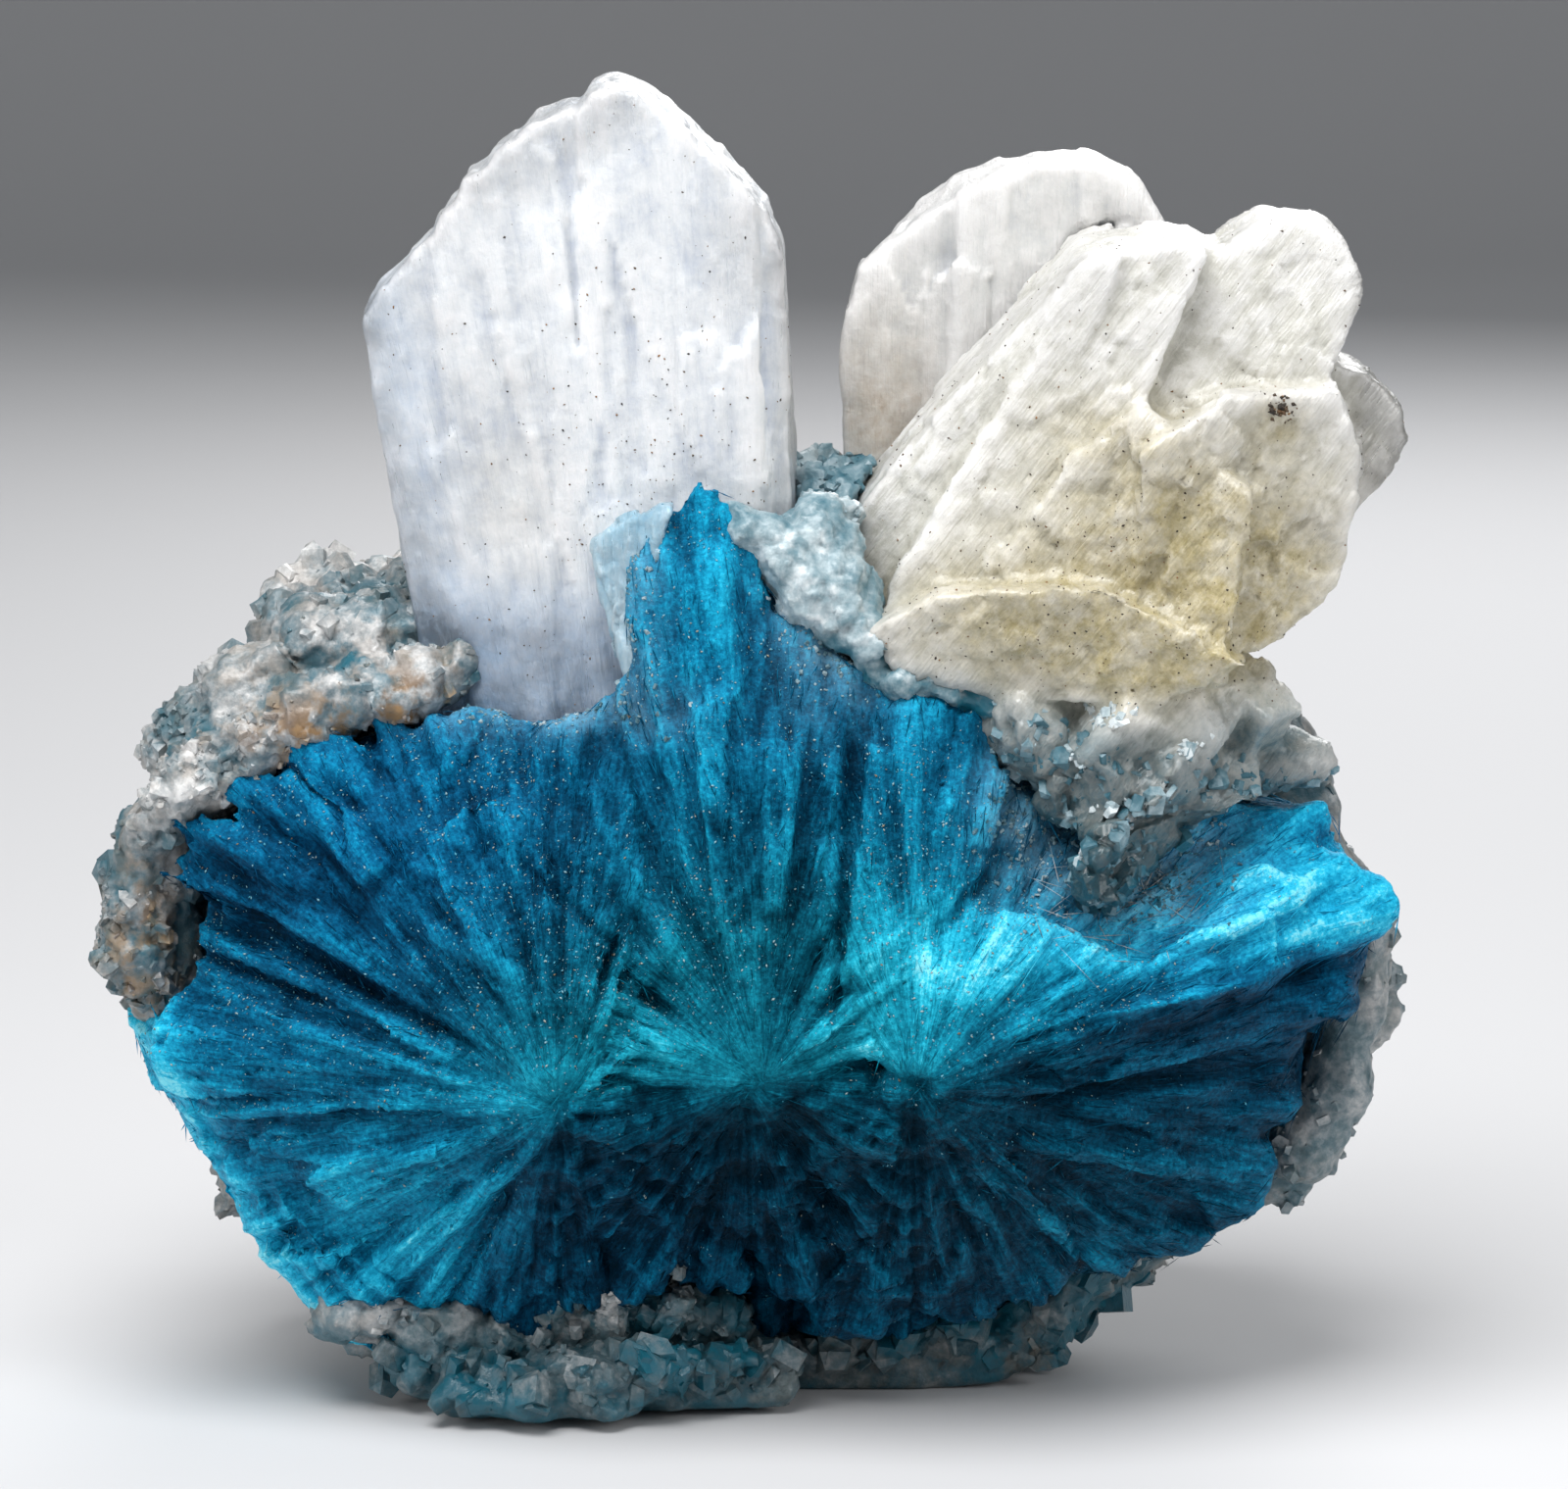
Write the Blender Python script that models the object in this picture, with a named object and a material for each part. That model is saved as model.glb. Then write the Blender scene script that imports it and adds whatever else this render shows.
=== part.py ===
"""A cavansite rosette, broken open, on a zeolite crust that carries stilbite crystals.

The specimen is one ball of radiating cavansite blades. Its front is broken away, so the blades
show from their hubs out to the rim. A crust of small pale crystals wraps the ball's back and
underside, and three large stilbite crystals stand on top.

The design is drawn in millimetres, seen from the front: X to the right, Y away from the viewer,
Z up from the surface that the specimen stands on. Y is 0 at the rim of the broken face.
"""

import math
import random

import bmesh
import bpy
from mathutils import Matrix, Vector

MM = 0.001
BOX_CENTRE_Y = 2.3
GAP = 0.12

BALL_CENTRE = Vector((0.0, 1.5, 10.3))
BALL_RADII = Vector((12.9, 9.5, 9.2))
CRUST_RADII = Vector((14.3, 11.2, 11.3))
CRUST_ROUGHNESS = 0.5
CORE_FRONT_Y = 0.2

BLADE_SIDES = 4
BLADE_ROOT_SHARE = 0.34
BLADE_START_SHARE = 0.06
BACKING_INSET = 0.7
BACKING_SINK = 0.45
BACKING_BACK_Y = 0.6
# The room that the crust leaves around the fans: how far out, how far forward and its back.
FAN_ROOM = 0.5
FAN_ROOM_FRONT = 4.0
FAN_ROOM_BACK_Y = 1.1

# Each fan's blades run from its hub to a rim that is given clockwise, as (x, y, z).
FANS = {
    "left": {
        "hub": (-4.5, -5.4, 8.3),
        "rim": [
            (-3.5, -4.6, 10.4), (-2.8, -3.6, 13.2), (-3.1, -2.4, 16.6), (-5.7, -1.8, 17.5), (-7.6, -1.6, 16.8),
            (-9.7, -1.3, 16.1), (-12.2, -1.0, 14.8), (-13.3, -0.9, 13.6), (-13.0, -0.9, 11.6),
            (-12.9, -0.9, 9.8), (-14.4, -1.1, 9.3), (-13.6, -0.7, 7.3), (-12.4, -0.5, 5.4),
            (-10.6, -0.4, 3.5), (-8.2, -0.5, 2.4), (-5.6, -0.8, 1.8), (-3.1, -1.2, 2.5),
        ],
        "blades": 25,
        "width": 2.6,
        "thickness": 1.7,
    },
    "middle": {
        "hub": (0.1, -5.2, 8.8),
        "rim": [
            (-4.0, -5.2, 8.6), (-3.0, -4.6, 11.0), (-2.4, -3.9, 13.4), (-3.3, -2.4, 17.0), (-2.6, -2.7, 19.4),
            (-1.7, -2.9, 21.0), (-0.9, -2.9, 21.4), (0.1, -2.7, 20.4), (0.9, -2.6, 19.6), (2.3, -2.5, 18.6),
            (1.9, -3.6, 14.6), (2.6, -5.0, 10.5), (3.1, -5.5, 9.2),
        ],
        "blades": 13,
        "width": 2.3,
        "thickness": 1.6,
    },
    "right": {
        "hub": (3.5, -6.0, 8.9),
        "rim": [
            (1.5, -5.1, 10.8), (1.3, -4.2, 13.4), (2.2, -2.7, 17.6), (4.3, -2.9, 17.9), (5.9, -2.7, 16.6),
            (7.9, -1.9, 15.0), (10.0, -1.4, 14.5), (12.5, -1.2, 14.9), (13.6, -1.6, 13.7), (14.9, -2.0, 12.0),
            (14.5, -1.6, 10.8), (13.4, -1.1, 9.1), (12.9, -0.9, 7.3), (11.8, -0.7, 5.6), (10.5, -0.5, 4.5),
            (8.8, -0.4, 2.8), (7.3, -0.2, 3.1), (5.6, 0.0, 1.6), (4.2, 0.0, 2.5), (3.5, 0.0, 1.7),
            (2.1, 0.0, 1.8), (0.5, -0.3, 2.4),
        ],
        "blades": 28,
        "width": 2.4,
        "thickness": 1.6,
    },
    "lower": {
        "hub": (-0.2, -4.9, 8.7),
        "rim": [
            (3.3, -5.3, 8.7), (2.8, -2.9, 4.9), (0.9, -0.9, 2.8), (-0.3, -1.3, 3.4), (-1.4, -1.5, 3.2),
            (-3.2, -1.7, 2.8), (-4.0, -3.3, 5.5), (-4.4, -4.9, 8.1),
        ],
        "blades": 8,
        "width": 2.2,
        "thickness": 1.5,
    },
}
# The blades' outer ends along the lower left make a smooth flank: a rim that flares backwards.
FLANK = {
    "hub": (-4.5, -5.4, 8.3),
    "rim": [
        (-14.3, -1.0, 9.3), (-13.5, -0.8, 7.3), (-12.2, -0.6, 5.3), (-10.4, -0.5, 3.4), (-8.0, -0.6, 2.3),
        (-7.0, -0.7, 2.0),
    ],
}
FLANK_FLARE = 0.85
FLANK_BACK_Y = 1.7
FLANK_INSET = 0.1
FLANK_SINK = 0.3
FLANK_ROOM = 0.25

# Blades that lie on top of the fans and end short of the rim: fan, end, width, thickness, lift.
RAISED_BLADES = [
    ("left", (-9.1, -2.2, 14.6), 3.2, 1.0, 0.35), ("left", (-6.9, -2.8, 15.4), 2.4, 1.0, 0.45),
    ("left", (-5.0, -2.9, 15.2), 2.0, 1.0, 0.35), ("left", (-11.2, -2.0, 11.8), 2.2, 1.0, 0.3),
    ("left", (-11.6, -1.9, 8.4), 2.0, 0.9, 0.25), ("left", (-10.3, -1.9, 5.6), 2.2, 1.0, 0.3),
    ("left", (-6.4, -2.1, 3.9), 2.2, 0.9, 0.3),
    ("middle", (-1.4, -3.7, 17.8), 2.0, 1.0, 0.35), ("middle", (0.3, -3.6, 16.6), 1.8, 1.0, 0.3),
    ("right", (4.4, -3.6, 15.0), 2.4, 1.0, 0.4),
    ("right", (6.4, -3.9, 12.9), 2.6, 1.1, 0.5), ("right", (9.6, -3.4, 12.8), 2.4, 1.0, 0.45),
    ("right", (12.2, -2.6, 13.2), 2.2, 0.9, 0.35), ("right", (12.8, -2.9, 11.6), 2.0, 1.0, 0.3),
    ("right", (11.3, -2.3, 8.6), 2.0, 0.9, 0.25), ("right", (10.0, -2.0, 6.3), 2.0, 0.9, 0.3),
    ("right", (7.2, -1.9, 4.7), 1.8, 0.9, 0.3), ("right", (4.1, -1.7, 3.9), 1.8, 0.9, 0.25),
]

# The stilbite crystals are sheaves of flat laths. Each lath has its outline as seen from the
# front, as (x, z), the depth of its front and back faces, and the way that those faces turn.
LEFT_CRYSTAL = [
    {"outline": [(-7.3, 15.5), (-5.0, 15.5), (-6.4, 27.6), (-7.4, 27.3), (-8.6, 26.1), (-9.0, 25.4)],
     "front": -1.1, "back": 2.2, "turn": -0.16},
    {"outline": [(-6.4, 15.5), (-4.6, 15.5), (-5.9, 28.0), (-6.8, 28.1), (-7.2, 27.8), (-7.4, 27.2)],
     "front": -1.35, "back": 2.5, "turn": -0.06},
    {"outline": [(-5.8, 15.5), (-3.8, 15.5), (-5.2, 28.6), (-6.2, 28.85), (-6.6, 28.6), (-6.8, 28.0)],
     "front": -1.25, "back": 2.3, "turn": 0.08},
    {"outline": [(-5.2, 15.5), (-3.2, 15.5), (-4.6, 29.2), (-5.6, 29.5), (-6.0, 29.2), (-6.2, 28.7)],
     "front": -1.5, "back": 2.6, "turn": -0.1},
    {"outline": [(-4.6, 15.5), (-2.4, 15.5), (-3.6, 30.0), (-4.2, 30.25), (-5.1, 29.9), (-5.6, 29.3)],
     "front": -1.35, "back": 2.4, "turn": 0.07},
    {"outline": [(-3.6, 15.5), (0.1, 15.5), (-0.1, 28.2), (-0.7, 28.9), (-1.7, 29.8), (-2.7, 30.6),
                 (-3.2, 30.75), (-3.8, 30.6), (-4.1, 30.1)],
     "front": -1.65, "back": 2.7, "turn": -0.03},
    {"outline": [(-1.2, 15.5), (0.9, 15.5), (0.75, 21.6), (0.5, 26.9), (0.15, 27.9), (-0.6, 28.7),
                 (-1.4, 28.9)],
     "front": -1.45, "back": 2.3, "turn": 0.2},
    {"outline": [(-4.0, 20.9), (-3.0, 21.3), (-2.6, 18.4), (-2.35, 16.6), (-3.2, 18.3)],
     "front": -2.4, "back": -1.0, "turn": -0.2, "nod": 0.25},
]
RIGHT_CRYSTAL = [
    {"outline": [(2.5, 17.9), (2.1, 20.5), (2.4, 21.7), (4.4, 23.9), (6.1, 26.0), (7.2, 27.0), (8.2, 27.2),
                 (5.2, 20.6)],
     "front": -2.1, "back": 2.4, "turn": -0.42, "nod": 0.1},
    {"outline": [(2.9, 17.7), (2.9, 19.6), (7.4, 26.95), (9.2, 27.4), (10.0, 27.2), (6.6, 19.0)],
     "front": -2.9, "back": 2.2, "turn": -0.22, "nod": 0.12},
    {"outline": [(4.6, 17.4), (5.2, 20.4), (9.1, 27.0), (10.4, 27.15), (10.9, 25.4), (8.6, 18.4)],
     "front": -2.6, "back": 2.6, "turn": 0.04, "nod": 0.16},
    {"outline": [(6.6, 19.5), (8.4, 24.4), (10.6, 27.3), (11.4, 27.8), (12.7, 27.7), (13.2, 27.2),
                 (13.7, 26.1), (13.6, 25.4), (13.0, 24.6), (11.2, 19.4)],
     "front": -2.2, "back": 2.7, "turn": 0.1, "nod": 0.24},
    {"outline": [(5.9, 17.6), (5.5, 20.4), (7.0, 22.7), (8.6, 23.8), (10.9, 22.0), (10.4, 17.6)],
     "front": -3.9, "back": 1.6, "turn": -0.24, "nod": 0.06},
    {"outline": [(8.6, 17.6), (8.4, 22.9), (10.4, 24.1), (12.9, 24.2), (13.5, 22.6), (13.2, 20.4),
                 (12.9, 19.6), (11.6, 18.4)],
     "front": -3.5, "back": 1.9, "turn": 0.3, "nod": -0.16},
    {"outline": [(11.9, 20.6), (12.4, 24.6), (13.8, 24.2), (14.6, 23.4), (14.7, 22.6), (14.2, 21.7),
                 (13.1, 20.5)],
     "front": -0.6, "back": 2.2, "turn": 0.24},
    {"outline": [(2.4, 18.8), (3.1, 17.7), (5.0, 17.3), (9.0, 17.2), (10.8, 18.2), (7.6, 20.0), (4.0, 19.7)],
     "front": -4.2, "back": 0.8, "turn": -0.16, "nod": -0.3},
]
BACK_CRYSTAL = [
    {"outline": [(2.3, 16.5), (1.9, 21.8), (1.85, 24.3), (2.3, 26.1), (3.7, 27.3), (5.1, 28.2), (6.5, 16.5)],
     "front": 3.3, "back": 6.1, "turn": -0.12},
    {"outline": [(4.0, 16.5), (4.6, 28.0), (6.4, 28.65), (7.6, 28.75), (8.8, 28.2), (9.4, 27.1), (9.2, 24.0),
                 (7.6, 16.5)],
     "front": 3.1, "back": 5.7, "turn": 0.08},
]

# The grey druse that hangs from the right crystal over the blades: tablets of (x, y, z, size).
HANGING_DRUSE = [
    (6.3, -3.1, 16.3, 2.3), (8.0, -3.2, 16.5, 2.7), (9.7, -2.6, 16.6, 2.8), (10.8, -1.9, 16.7, 2.3),
    (7.6, -3.7, 15.0, 2.2), (9.1, -3.5, 15.0, 2.5), (10.4, -2.8, 15.0, 2.0), (8.5, -4.0, 13.6, 2.2),
    (9.8, -3.5, 13.5, 1.9), (8.1, -4.3, 12.5, 1.6), (9.1, -4.1, 12.2, 1.6),
]
# A rounded lump on the druse's right: its centre and radii.
LUMP_CENTRE = Vector((11.5, -1.0, 15.3))
LUMP_RADII = Vector((1.75, 1.1, 0.95))
# The frosting of small crystals in the saddle between the two large ones.
SADDLE_DRUSE = [
    (1.3, -0.9, 20.3, 2.3), (1.5, 0.7, 20.9, 2.5), (1.0, 1.9, 20.6, 2.3), (1.9, -1.7, 19.3, 2.0),
    (1.0, -2.0, 20.2, 1.6), (1.4, 3.0, 21.0, 2.1), (0.2, 3.5, 20.2, 2.1),
]
# Crystals of the crust that stand out enough to be seen by themselves.
CRUST_CRYSTALS = [
    (-14.1, 2.4, 11.2, 2.4), (-14.0, 1.9, 9.9, 2.0), (-13.4, 2.2, 8.9, 1.8), (-13.5, 2.2, 12.4, 2.0),
    (-12.9, 2.4, 13.9, 2.1), (-12.5, 2.8, 15.0, 2.2), (-11.7, 3.0, 16.2, 2.2), (-10.8, 3.3, 17.0, 2.3),
    (-9.7, 3.5, 17.6, 2.3), (-8.5, 2.7, 17.6, 2.2), (-11.9, 1.3, 15.2, 2.2), (-10.4, 1.2, 16.4, 2.3),
    (-8.8, 1.0, 17.2, 2.2), (-13.1, 1.2, 13.4, 1.8),
    (-8.5, 0.4, 1.7, 1.9), (-7.4, -0.6, 1.3, 2.1), (-6.3, -1.5, 1.1, 2.2), (-5.0, -1.9, 1.0, 2.2),
    (-3.6, -2.0, 1.1, 2.3), (-2.3, -1.7, 1.2, 2.2), (-1.1, -1.1, 1.3, 2.0),
    (13.7, 2.2, 10.2, 2.1), (13.7, 2.0, 8.7, 2.0), (13.3, 2.0, 7.4, 2.0), (12.6, 2.0, 6.4, 1.9),
    (13.6, 2.2, 11.6, 1.9),
]
BACK_CRYSTAL_COUNT = 22

TABLET_PROPORTIONS = (1.0, 0.62, 0.86)
# The planes that bound the crust and its recess: a point and the way out.
CRUST_LIMITS = [
    (Vector((0.0, 0.9, 10.3)), Vector((0.0, -1.0, 0.24))),
    (Vector((9.2, 1.5, 3.4)), Vector((0.66, -0.35, -0.66))),
]
RECESS = [
    (Vector((0.4, 0.0, 0.0)), Vector((-1.0, -0.3, 0.0))),
    (Vector((0.0, 0.9, 0.0)), Vector((0.0, 1.0, 0.0))),
    (Vector((0.0, 0.0, 6.0)), Vector((0.0, 0.0, 1.0))),
]
# The flat foot's corners, anticlockwise from above as (x, y), and how steeply the crust rises around it.
FOOT = [(-6.0, -1.3), (4.8, 1.1), (4.4, 4.9), (-4.4, 5.5)]
FOOT_RISE = math.radians(8)

COLOURS = {
    "cavansite": (0.02, 0.27, 0.55, 1.0),
    "zeolite_crust": (0.58, 0.55, 0.50, 1.0),
    "stilbite_left": (0.86, 0.85, 0.84, 1.0),
    "stilbite_right": (0.80, 0.76, 0.67, 1.0),
    "stilbite_back": (0.78, 0.74, 0.68, 1.0),
    "druse_saddle": (0.46, 0.53, 0.55, 1.0),
}


def clear_scene():
    for old in list(bpy.data.objects):
        bpy.data.objects.remove(old, do_unlink=True)


def make_collection(name):
    made = bpy.data.collections.new(name)
    bpy.context.scene.collection.children.link(made)
    return made


def material(name):
    """The plain finish of one piece."""
    made = bpy.data.materials.new(name)
    made.use_nodes = True
    surface = made.node_tree.nodes["Principled BSDF"]
    surface.inputs["Base Color"].default_value = COLOURS[name]
    surface.inputs["Roughness"].default_value = 0.45
    surface.inputs["Metallic"].default_value = 0.0
    return made


def object_from(shape, name, collection):
    """Turns a shape drawn in millimetres into an object in metres, in the part's own frame."""
    shape.transform(Matrix.Scale(MM, 4) @ Matrix.Translation((0.0, -BOX_CENTRE_Y, 0.0)))
    bmesh.ops.recalc_face_normals(shape, faces=shape.faces)
    mesh = bpy.data.meshes.new(name)
    shape.to_mesh(mesh)
    shape.free()
    made = bpy.data.objects.new(name, mesh)
    collection.objects.link(made)
    return made


def combine(base, others, operation):
    """Applies one Boolean of base with all the others, and removes them."""
    helpers = make_collection("helpers")
    for other in others:
        for owner in list(other.users_collection):
            owner.objects.unlink(other)
        helpers.objects.link(other)
    boolean = base.modifiers.new("combine", "BOOLEAN")
    boolean.operation = operation
    boolean.solver = "EXACT"
    boolean.operand_type = "COLLECTION"
    boolean.collection = helpers
    bpy.context.view_layer.update()
    evaluated = base.evaluated_get(bpy.context.evaluated_depsgraph_get())
    joined = bpy.data.meshes.new_from_object(evaluated)
    base.modifiers.clear()
    base.data = joined
    for other in others:
        bpy.data.objects.remove(other, do_unlink=True)
    bpy.data.collections.remove(helpers)
    return base


def along_path(points, share):
    """The point at this share of a path's length."""
    points = [Vector(p) for p in points]
    steps = [(b - a).length for a, b in zip(points, points[1:])]
    left = share * sum(steps)
    for start, end, step in zip(points, points[1:], steps):
        if left <= step:
            return start.lerp(end, left / step)
        left -= step
    return points[-1]


def blade(hub, tip, width, thickness, roll, slant):
    """A bundle of needles: a flat bar that widens from the hub to a slanting end."""
    bundle = bmesh.new()
    length = (tip - hub).length
    bmesh.ops.create_cone(
        bundle, cap_ends=True, segments=BLADE_SIDES, radius1=0.5 * BLADE_ROOT_SHARE, radius2=0.5,
        depth=length,
    )
    end = max(bundle.faces, key=lambda face: face.calc_center_median().z)
    for vertex in end.verts:
        vertex.co.z += slant * vertex.co.x - abs(slant) / 2
    along = (tip - hub).normalized()
    across = along.cross(Vector((0.0, -1.0, 0.0))).normalized()
    outward = across.cross(along)
    turned = Matrix((across * width, outward * thickness, along)).transposed().to_4x4()
    bundle.transform(Matrix.Translation((hub + tip) / 2) @ turned @ Matrix.Rotation(roll, 4, "Z"))
    return bundle


def fan_blades(fan, chance):
    """One fan's blades, from near its hub to its rim."""
    hub = Vector(fan["hub"])
    count = fan["blades"]
    made = []
    for i in range(count):
        share = (i + chance.uniform(0.2, 0.8)) / count
        tip = along_path(fan["rim"], share)
        reach = chance.uniform(0.95, 1.02)
        tip = hub + (tip - hub) * reach + Vector((0.0, chance.uniform(-0.25, 0.35), 0.0))
        start = hub + (tip - hub) * BLADE_START_SHARE
        width = fan["width"] * chance.uniform(0.8, 1.2)
        thickness = fan["thickness"] * chance.uniform(0.8, 1.25)
        roll = chance.uniform(0, math.tau)
        made.append(blade(start, tip, width, thickness, roll, chance.uniform(-1.6, 1.6)))
    return made


def raised_blades(chance):
    """The stepped blades on top of the fans."""
    made = []
    for fan_name, end, width, thickness, lift in RAISED_BLADES:
        raised = Vector((0.0, -lift, 0.0))
        hub = Vector(FANS[fan_name]["hub"])
        tip = Vector(end)
        start = hub + (tip - hub) * BLADE_START_SHARE
        roll = math.pi / 4 + chance.uniform(-0.25, 0.25)
        made.append(blade(start + raised, tip + raised, width, thickness, roll, chance.uniform(-2.0, 2.0)))
    return made


def fan_body(fan, inset, sink, back_y, flare=0.0):
    """The solid behind one fan's blades: from its hub and rim back to a plane, where it flares."""
    hub = Vector(fan["hub"])
    sunk = Vector((0.0, sink, 0.0))
    front = [hub + sunk * BLADE_ROOT_SHARE]
    back = [Vector((hub.x, back_y, hub.z))]
    for point in fan["rim"]:
        out = Vector(point) - hub
        edge = hub + out * (1.0 - inset / out.length) + sunk
        spread = Vector((out.x, 0.0, out.z)).normalized() * flare
        front.append(edge)
        back.append(Vector((edge.x, back_y, edge.z)) + spread)
    body = bmesh.new()
    front = [body.verts.new(point) for point in front]
    back = [body.verts.new(point) for point in back]
    count = len(front)
    for i in range(1, count - 1):
        body.faces.new((front[0], front[i], front[i + 1]))
        body.faces.new((back[0], back[i + 1], back[i]))
    for i in range(count):
        after = (i + 1) % count
        body.faces.new((front[i], back[i], back[after], front[after]))
    return body


def ball(grow):
    """The ball that the cavansite filled before its front broke away."""
    shape = bmesh.new()
    bmesh.ops.create_uvsphere(shape, u_segments=16, v_segments=8, radius=1.0)
    radii = BALL_RADII + Vector((grow, grow, grow))
    shape.transform(Matrix.Translation(BALL_CENTRE) @ Matrix.Diagonal((*radii, 1.0)))
    return shape


def core():
    """The half of the ball behind the broken face."""
    whole = ball(0.0)
    half = bmesh.ops.bisect_plane(
        whole, geom=whole.verts[:] + whole.edges[:] + whole.faces[:], dist=1e-5,
        plane_co=Vector((0.0, CORE_FRONT_Y, 0.0)), plane_no=Vector((0.0, -1.0, 0.0)), clear_outer=True,
    )
    rim = [g for g in half["geom_cut"] if isinstance(g, bmesh.types.BMEdge)]
    bmesh.ops.contextual_create(whole, geom=rim)
    return whole


def cut_block(planes, grow):
    """A large cube cut down to the convex solid inside these planes, each (point, normal)."""
    reach = 80.0
    middle = sum((point for point, _ in planes), Vector()) / len(planes)
    block = bmesh.new()
    bmesh.ops.create_cube(block, size=reach)
    bmesh.ops.translate(block, verts=block.verts, vec=middle)
    for point, normal in planes:
        unit = normal.normalized()
        cut = bmesh.ops.bisect_plane(
            block, geom=block.verts[:] + block.edges[:] + block.faces[:], dist=1e-5,
            plane_co=point + unit * grow, plane_no=unit, clear_outer=True,
        )
        rim = [g for g in cut["geom_cut"] if isinstance(g, bmesh.types.BMEdge)]
        if rim:
            bmesh.ops.contextual_create(block, geom=rim)
    return block


def lath(spec, grow):
    """One flat stilbite lath: its outline's edges, with a front and a back face."""
    outline = [Vector((x, 0.0, z)) for x, z in spec["outline"]]
    middle = sum(outline, Vector()) / len(outline)
    planes = []
    for start, end in zip(outline, outline[1:] + outline[:1]):
        edge = end - start
        normal = Vector((edge.z, 0.0, -edge.x))
        if normal.dot((start + end) / 2 - middle) < 0:
            normal.negate()
        planes.append((start, normal))
    turn = spec["turn"]
    nod = spec.get("nod", 0.0)
    planes.append((middle + Vector((0.0, spec["front"], 0.0)), Vector((turn, -1.0, nod))))
    planes.append((middle + Vector((0.0, spec["back"], 0.0)), Vector((turn, 1.0, nod))))
    return cut_block(planes, grow)


def tablet(x, y, z, size, grow, chance):
    """A small stilbite tablet with two clipped corners, turned at random."""
    turned = Matrix.Rotation(chance.uniform(0, math.tau), 3, "Z")
    turned = turned @ Matrix.Rotation(chance.uniform(-0.9, 0.9), 3, "X")
    turned = turned @ Matrix.Rotation(chance.uniform(0, math.tau), 3, "Y")
    centre = Vector((x, y, z))
    half = size / 2
    planes = []
    for axis, share in enumerate(TABLET_PROPORTIONS):
        for side in (-1, 1):
            normal = Vector((0.0, 0.0, 0.0))
            normal[axis] = side
            planes.append((centre + turned @ (normal * half * share), turned @ normal))
    for side in (-1, 1):
        corner = Vector((side, chance.uniform(-0.3, 0.3), chance.uniform(0.6, 1.1))).normalized()
        planes.append((centre + turned @ (corner * half * 0.84), turned @ corner))
    return cut_block(planes, grow)


def lump(grow):
    """A rounded, many-faceted lump."""
    shape = bmesh.new()
    bmesh.ops.create_icosphere(shape, subdivisions=2, radius=1.0)
    radii = LUMP_RADII + Vector((grow, grow, grow))
    shape.transform(Matrix.Translation(LUMP_CENTRE) @ Matrix.Diagonal((*radii, 1.0)))
    return shape


def lath_objects(specs, grow, collection):
    return [object_from(lath(spec, grow), "lath", collection) for spec in specs]


def tablet_objects(places, seed, grow, collection):
    chance = random.Random(seed)
    return [object_from(tablet(*place, grow, chance), "tablet", collection) for place in places]


def keep_main_body(obj):
    """Fills sealed hollows and drops loose chips: only the largest shell stays."""
    shape = bmesh.new()
    shape.from_mesh(obj.data)
    shells = []
    waiting = set(shape.faces)
    while waiting:
        shell = [waiting.pop()]
        for face in shell:
            for edge in face.edges:
                for neighbour in edge.link_faces:
                    if neighbour in waiting:
                        waiting.remove(neighbour)
                        shell.append(neighbour)
        shells.append(shell)
    shells.sort(key=len)
    for shell in shells[:-1]:
        bmesh.ops.delete(shape, geom=shell, context="FACES")
    shape.to_mesh(obj.data)
    shape.free()


def finish(obj, name, collection):
    """Names the finished piece, gives it its material and leaves it alone in its collection."""
    keep_main_body(obj)
    obj.name = name
    obj.data.name = name
    obj.data.materials.clear()
    obj.data.materials.append(material(name))
    for owner in list(obj.users_collection):
        owner.objects.unlink(obj)
    collection.objects.link(obj)
    return obj


def joined(pieces):
    return combine(pieces[0], pieces[1:], "UNION")


def crystal_cutters(collection):
    """The large crystals and the druses, grown by the gap, as separate convex solids."""
    cutters = []
    for specs in (LEFT_CRYSTAL, RIGHT_CRYSTAL, BACK_CRYSTAL):
        cutters += lath_objects(specs, GAP, collection)
    cutters += tablet_objects(HANGING_DRUSE, "hanging", GAP, collection)
    cutters += tablet_objects(SADDLE_DRUSE, "saddle", GAP, collection)
    cutters.append(object_from(lump(GAP), "lump", collection))
    return cutters


def make_cavansite(work, specimen):
    chance = random.Random("cavansite")
    pieces = [object_from(core(), "core", work)]
    for fan in FANS.values():
        body = fan_body(fan, BACKING_INSET, BACKING_SINK, BACKING_BACK_Y)
        pieces.append(object_from(body, "backing", work))
        pieces += [object_from(b, "blade", work) for b in fan_blades(fan, chance)]
    pieces += [object_from(b, "blade", work) for b in raised_blades(chance)]
    flank = fan_body(FLANK, FLANK_INSET, FLANK_SINK, FLANK_BACK_Y, FLANK_FLARE)
    pieces.append(object_from(flank, "flank", work))
    rosette = joined(pieces)
    rosette = combine(rosette, crystal_cutters(work), "DIFFERENCE")
    return finish(rosette, "cavansite", specimen)


def crust_shell(chance):
    """The outside of the crust: a rough ball, cut away at the broken face."""
    shell = bmesh.new()
    bmesh.ops.create_icosphere(shell, subdivisions=4, radius=1.0)
    for vertex in shell.verts:
        outward = vertex.co.normalized()
        place = Vector([a * b for a, b in zip(vertex.co, CRUST_RADII)])
        vertex.co = BALL_CENTRE + place + outward * chance.uniform(-1, 1) * CRUST_ROUGHNESS
    for point, normal in CRUST_LIMITS:
        cut = bmesh.ops.bisect_plane(
            shell, geom=shell.verts[:] + shell.edges[:] + shell.faces[:], dist=1e-5,
            plane_co=point, plane_no=normal, clear_outer=True,
        )
        rim = [g for g in cut["geom_cut"] if isinstance(g, bmesh.types.BMEdge)]
        bmesh.ops.contextual_create(shell, geom=rim)
    return shell


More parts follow.
